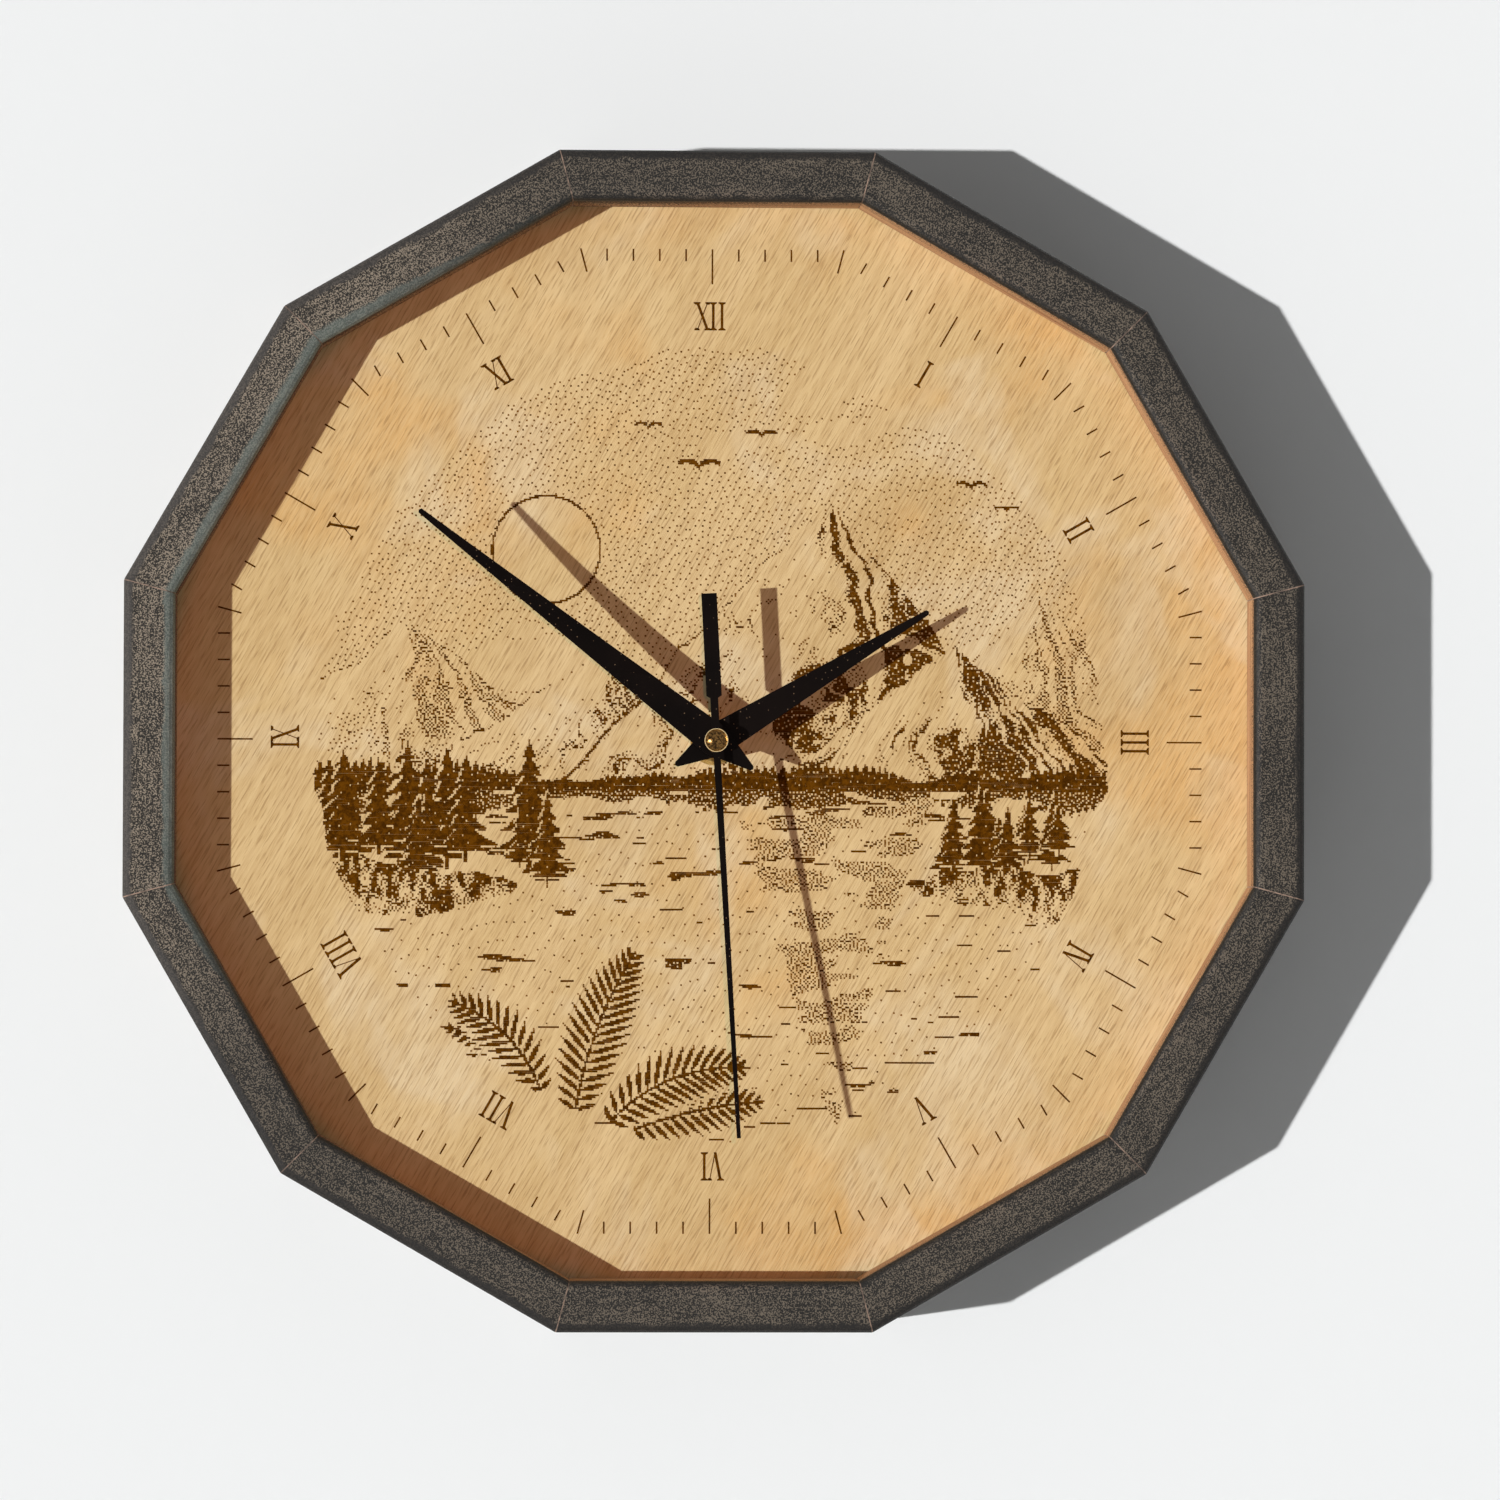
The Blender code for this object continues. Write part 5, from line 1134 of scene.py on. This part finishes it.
def bush_profile():
    top = BUSH_LENGTH - THREAD_END
    count = round((top - COLLAR_TOP) / THREAD_STEP)
    side = [(BUSH_RADIUS, top + (COLLAR_TOP - top) * i / count) for i in range(count + 1)]
    return ([(BUSH_BORE, BUSH_LENGTH), (BUSH_RADIUS - THREAD_END, BUSH_LENGTH)] + side
            + [(BUSH_COLLAR, COLLAR_TOP), (BUSH_COLLAR, 0.0), (BUSH_BORE, 0.0), (BUSH_BORE, BUSH_LENGTH)])


washer_brass = brass("washer_brass", 0.9, 0.38)
bush = turned("bush_thread", bush_profile(), BUSH_BACK, 72, thread)
bush.data.materials.append(washer_brass)
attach(bush, "clock_body")
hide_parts("threaded_bush")
coat(washer_brass, "brass_washer", "hex_nut")
soften(NUT_BEVEL, "hex_nut")
print("bush thread", len(bush.data.polygons), "faces")

# %% [markdown]
# Behind the dial sits the usual square movement. Its case and cover are moulded in black plastic with a fine
# spark texture, the hanger is zinc plated steel, and inside are white wheels, a green board, copper wire and
# iron. Each of these gets a plain shader with the unevenness that the real stuff has.

# %% Movement finishes
def moulded(name, low, high, rough, grain=1500):
    material, tree, shader = new_finish(name)
    place = object_place(tree)
    haze = noise(tree, place, 45, 3.0)
    fill(tree, shader, {"Base Color": mixed(tree, spread(tree, haze, 0.3, 0.7), low, high),
                        "Roughness": spread(tree, haze, 0.3, 0.7, rough - 0.06, rough + 0.06)})
    bumped(tree, shader, noise(tree, place, grain), 0.00003, 0.5)
    return material


def plated(name, light, dark, rough):
    material, tree, shader = new_finish(name)
    place = object_place(tree)
    brushed = noise(tree, stretched(tree, place, (120, 120, 2600)), 1.0, 3.0)
    spots = noise(tree, place, 130, 4.0, 0.65)
    fill(tree, shader, {"Base Color": mixed(tree, spread(tree, spots, 0.4, 0.75), light, dark),
                        "Metallic": 1.0,
                        "Roughness": spread(tree, brushed, 0.3, 0.7, rough - 0.08, rough + 0.1)})
    bumped(tree, shader, brushed, 0.00003, 0.3)
    return material


coat(moulded("case_black", rgb(32, 32, 33), rgb(46, 46, 48), 0.5),
     "movement_case", "movement_cover", "setting_knob")
coat(moulded("washer_rubber", rgb(20, 20, 20), rgb(34, 33, 32), 0.85, 900), "rubber_washer")
coat(plated("zinc_plate", rgb(205, 206, 208), rgb(160, 162, 166), 0.34), "hanger_plate",
     "contact_positive", "contact_negative", "core_screw_1", "core_screw_2")
coat(moulded("wheel_white", rgb(224, 222, 212), rgb(238, 236, 228), 0.42, 900), "rotor_pinion",
     "intermediate_wheel", "second_wheel", "third_wheel", "centre_wheel", "cannon_pinion", "minute_wheel",
     "hour_wheel", "setting_pinion", "train_bridge", "coil_former")
coat(moulded("board_green", rgb(28, 92, 52), rgb(40, 116, 66), 0.4, 700), "circuit_board")
coat(moulded("resin_black", rgb(22, 22, 23), rgb(34, 34, 35), 0.45), "clock_chip")
coat(plated("copper_coil", rgb(200, 118, 72), rgb(150, 80, 44), 0.35), "coil_winding")
coat(plated("iron_sheet", rgb(170, 168, 165), rgb(130, 128, 126), 0.42),
     "coil_core", "stator", "quartz_crystal")
coat(moulded("ferrite", rgb(58, 58, 60), rgb(76, 76, 78), 0.6), "rotor_magnet")
soften(CASE_BEVEL, "movement_case", "movement_cover", "hanger_plate", "setting_knob")
print("movement dressed")

# %% [markdown]
# A dry cell has a printed film round a steel can, and the steel shows at both ends. One shader does all of it
# from the place along the cell: bare steel past the film's ends, and a silver band round the positive end.

# %% Dry cell
CELL_FILM_END = 0.0243
CELL_BAND = (-0.0140, -0.0150)


def dry_cell():
    material, tree, shader = new_finish("cell_jacket")
    place = object_place(tree)
    x = add(tree, "SeparateXYZ", {0: place}).outputs[0]
    haze = noise(tree, place, 60, 3.0)
    film = mixed(tree, spread(tree, haze, 0.3, 0.7), rgb(30, 56, 104), rgb(38, 68, 120))
    band = arithmetic(tree, "LESS_THAN", x, CELL_BAND[0])
    line = arithmetic(tree, "MULTIPLY", band, arithmetic(tree, "GREATER_THAN", x, CELL_BAND[1]))
    film = mixed(tree, band, film, rgb(176, 178, 180))
    film = mixed(tree, line, film, rgb(232, 232, 228))
    bare = arithmetic(tree, "GREATER_THAN", arithmetic(tree, "ABSOLUTE", x), CELL_FILM_END)
    metal = arithmetic(tree, "MAXIMUM", bare, arithmetic(tree, "MULTIPLY", band, 0.6))
    fill(tree, shader, {"Base Color": mixed(tree, bare, film, rgb(188, 186, 182)), "Metallic": metal,
                        "Roughness": spread(tree, haze, 0.3, 0.7, 0.26, 0.36)})
    bumped(tree, shader, noise(tree, place, 400), 0.00001, 0.3)
    return material


coat(dry_cell(), "battery")
print("dry cell dressed")

# %% [markdown]
# The mould of the cover leaves low marks on its back: plus and minus by the ends of the cell, two arrows
# round the setting knob, and faint rings where pins pushed the warm part out of the mould. They are thin
# raised prisms in the same plastic, a little greyer: a painted sheen that makes them stand out from the cover.

# %% Marks on the cover
cover_low, cover_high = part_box("movement_cover")
knob_low, knob_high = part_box("setting_knob")
COVER_BACK = cover_high.y
SIGN_SUNK, SIGN_RISE, PIN_RISE = 0.0001, 0.00018, 0.00005
MARK_ARM, MARK_LINE = 0.0011, 0.00045
SIGN_IN, SIGN_UP = 0.0026, 0.0022       # from the cover's corner to the middle of a sign
KNOB_AT = ((knob_low.x + knob_high.x) / 2, (knob_low.z + knob_high.z) / 2)
ARROW_RADIUS, ARROW_HALF = 0.0086, 0.0009
ARROW_STARTS, ARROW_TURN, HEAD_STARTS, HEAD_TURN = (25, 205), 48, 49, 12    # degrees
PIN_RADIUS, PIN_LINE = 0.0016, 0.00012
PIN_GAP = 0.02           # half the gap between the two halves of a ring, as an angle
PINS = ((-0.0225, 0.0225), (0.0225, 0.0225), (0.0225, -0.0010), (0.0, 0.0140))


def on_cover(points, height):
    return [Vector((x, COVER_BACK + height, y)) for x, y in points]


def round_about(centre, places):
    """Points from their (radius, angle) round a centre."""
    return [(centre[0] + r * math.cos(t), centre[1] + r * math.sin(t)) for r, t in places]


def arc(centre, radius, width, start, end, steps=24):
    """The outline of a piece of a ring."""
    turns = [start + (end - start) * i / steps for i in range(steps + 1)]
    return round_about(centre, [(radius + width / 2, t) for t in turns]
                       + [(radius - width / 2, t) for t in reversed(turns)])


def bar(centre, half_x, half_y):
    return [(centre[0] + a * half_x, centre[1] + b * half_y) for a, b in ((-1, -1), (1, -1), (1, 1), (-1, 1))]


plus = (cover_low.x + SIGN_IN, cover_low.z + SIGN_UP)
minus = (cover_high.x - SIGN_IN, cover_low.z + SIGN_UP)
half = MARK_LINE / 2
middle, rest = (MARK_ARM + half) / 2, (MARK_ARM - half) / 2
signs = [bar(plus, MARK_ARM, half), bar((plus[0], plus[1] + middle), half, rest),
         bar((plus[0], plus[1] - middle), half, rest), bar(minus, MARK_ARM, half)]
for start in ARROW_STARTS:
    tail, tip = math.radians(start), math.radians(start) + math.radians(HEAD_STARTS)
    signs.append(arc(KNOB_AT, ARROW_RADIUS, MARK_LINE, tail, tail + math.radians(ARROW_TURN)))
    head = ((ARROW_RADIUS - ARROW_HALF, tip), (ARROW_RADIUS + ARROW_HALF, tip),
            (ARROW_RADIUS, tip + math.radians(HEAD_TURN)))
    signs.append(round_about(KNOB_AT, head))
rings = [arc(pin, PIN_RADIUS, PIN_LINE, turn + PIN_GAP, turn + math.pi - PIN_GAP)
         for pin in PINS for turn in (0.0, math.pi)]
# A little greyer than the cover: a painted sheen that makes the low marks show.
sheen_grey_plastic = moulded("sheen_grey_plastic", rgb(66, 66, 68), rgb(84, 84, 87), 0.4)
for name, outlines, rise in (("moulded_signs", signs, SIGN_RISE), ("pin_rings", rings, PIN_RISE)):
    marks = solid(name, outlines, -SIGN_SUNK, rise, on_cover)
    marks.data.materials.append(sheen_grey_plastic)
    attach(marks, "clock_body")
print(len(signs), "moulded marks and", len(PINS), "pin rings")
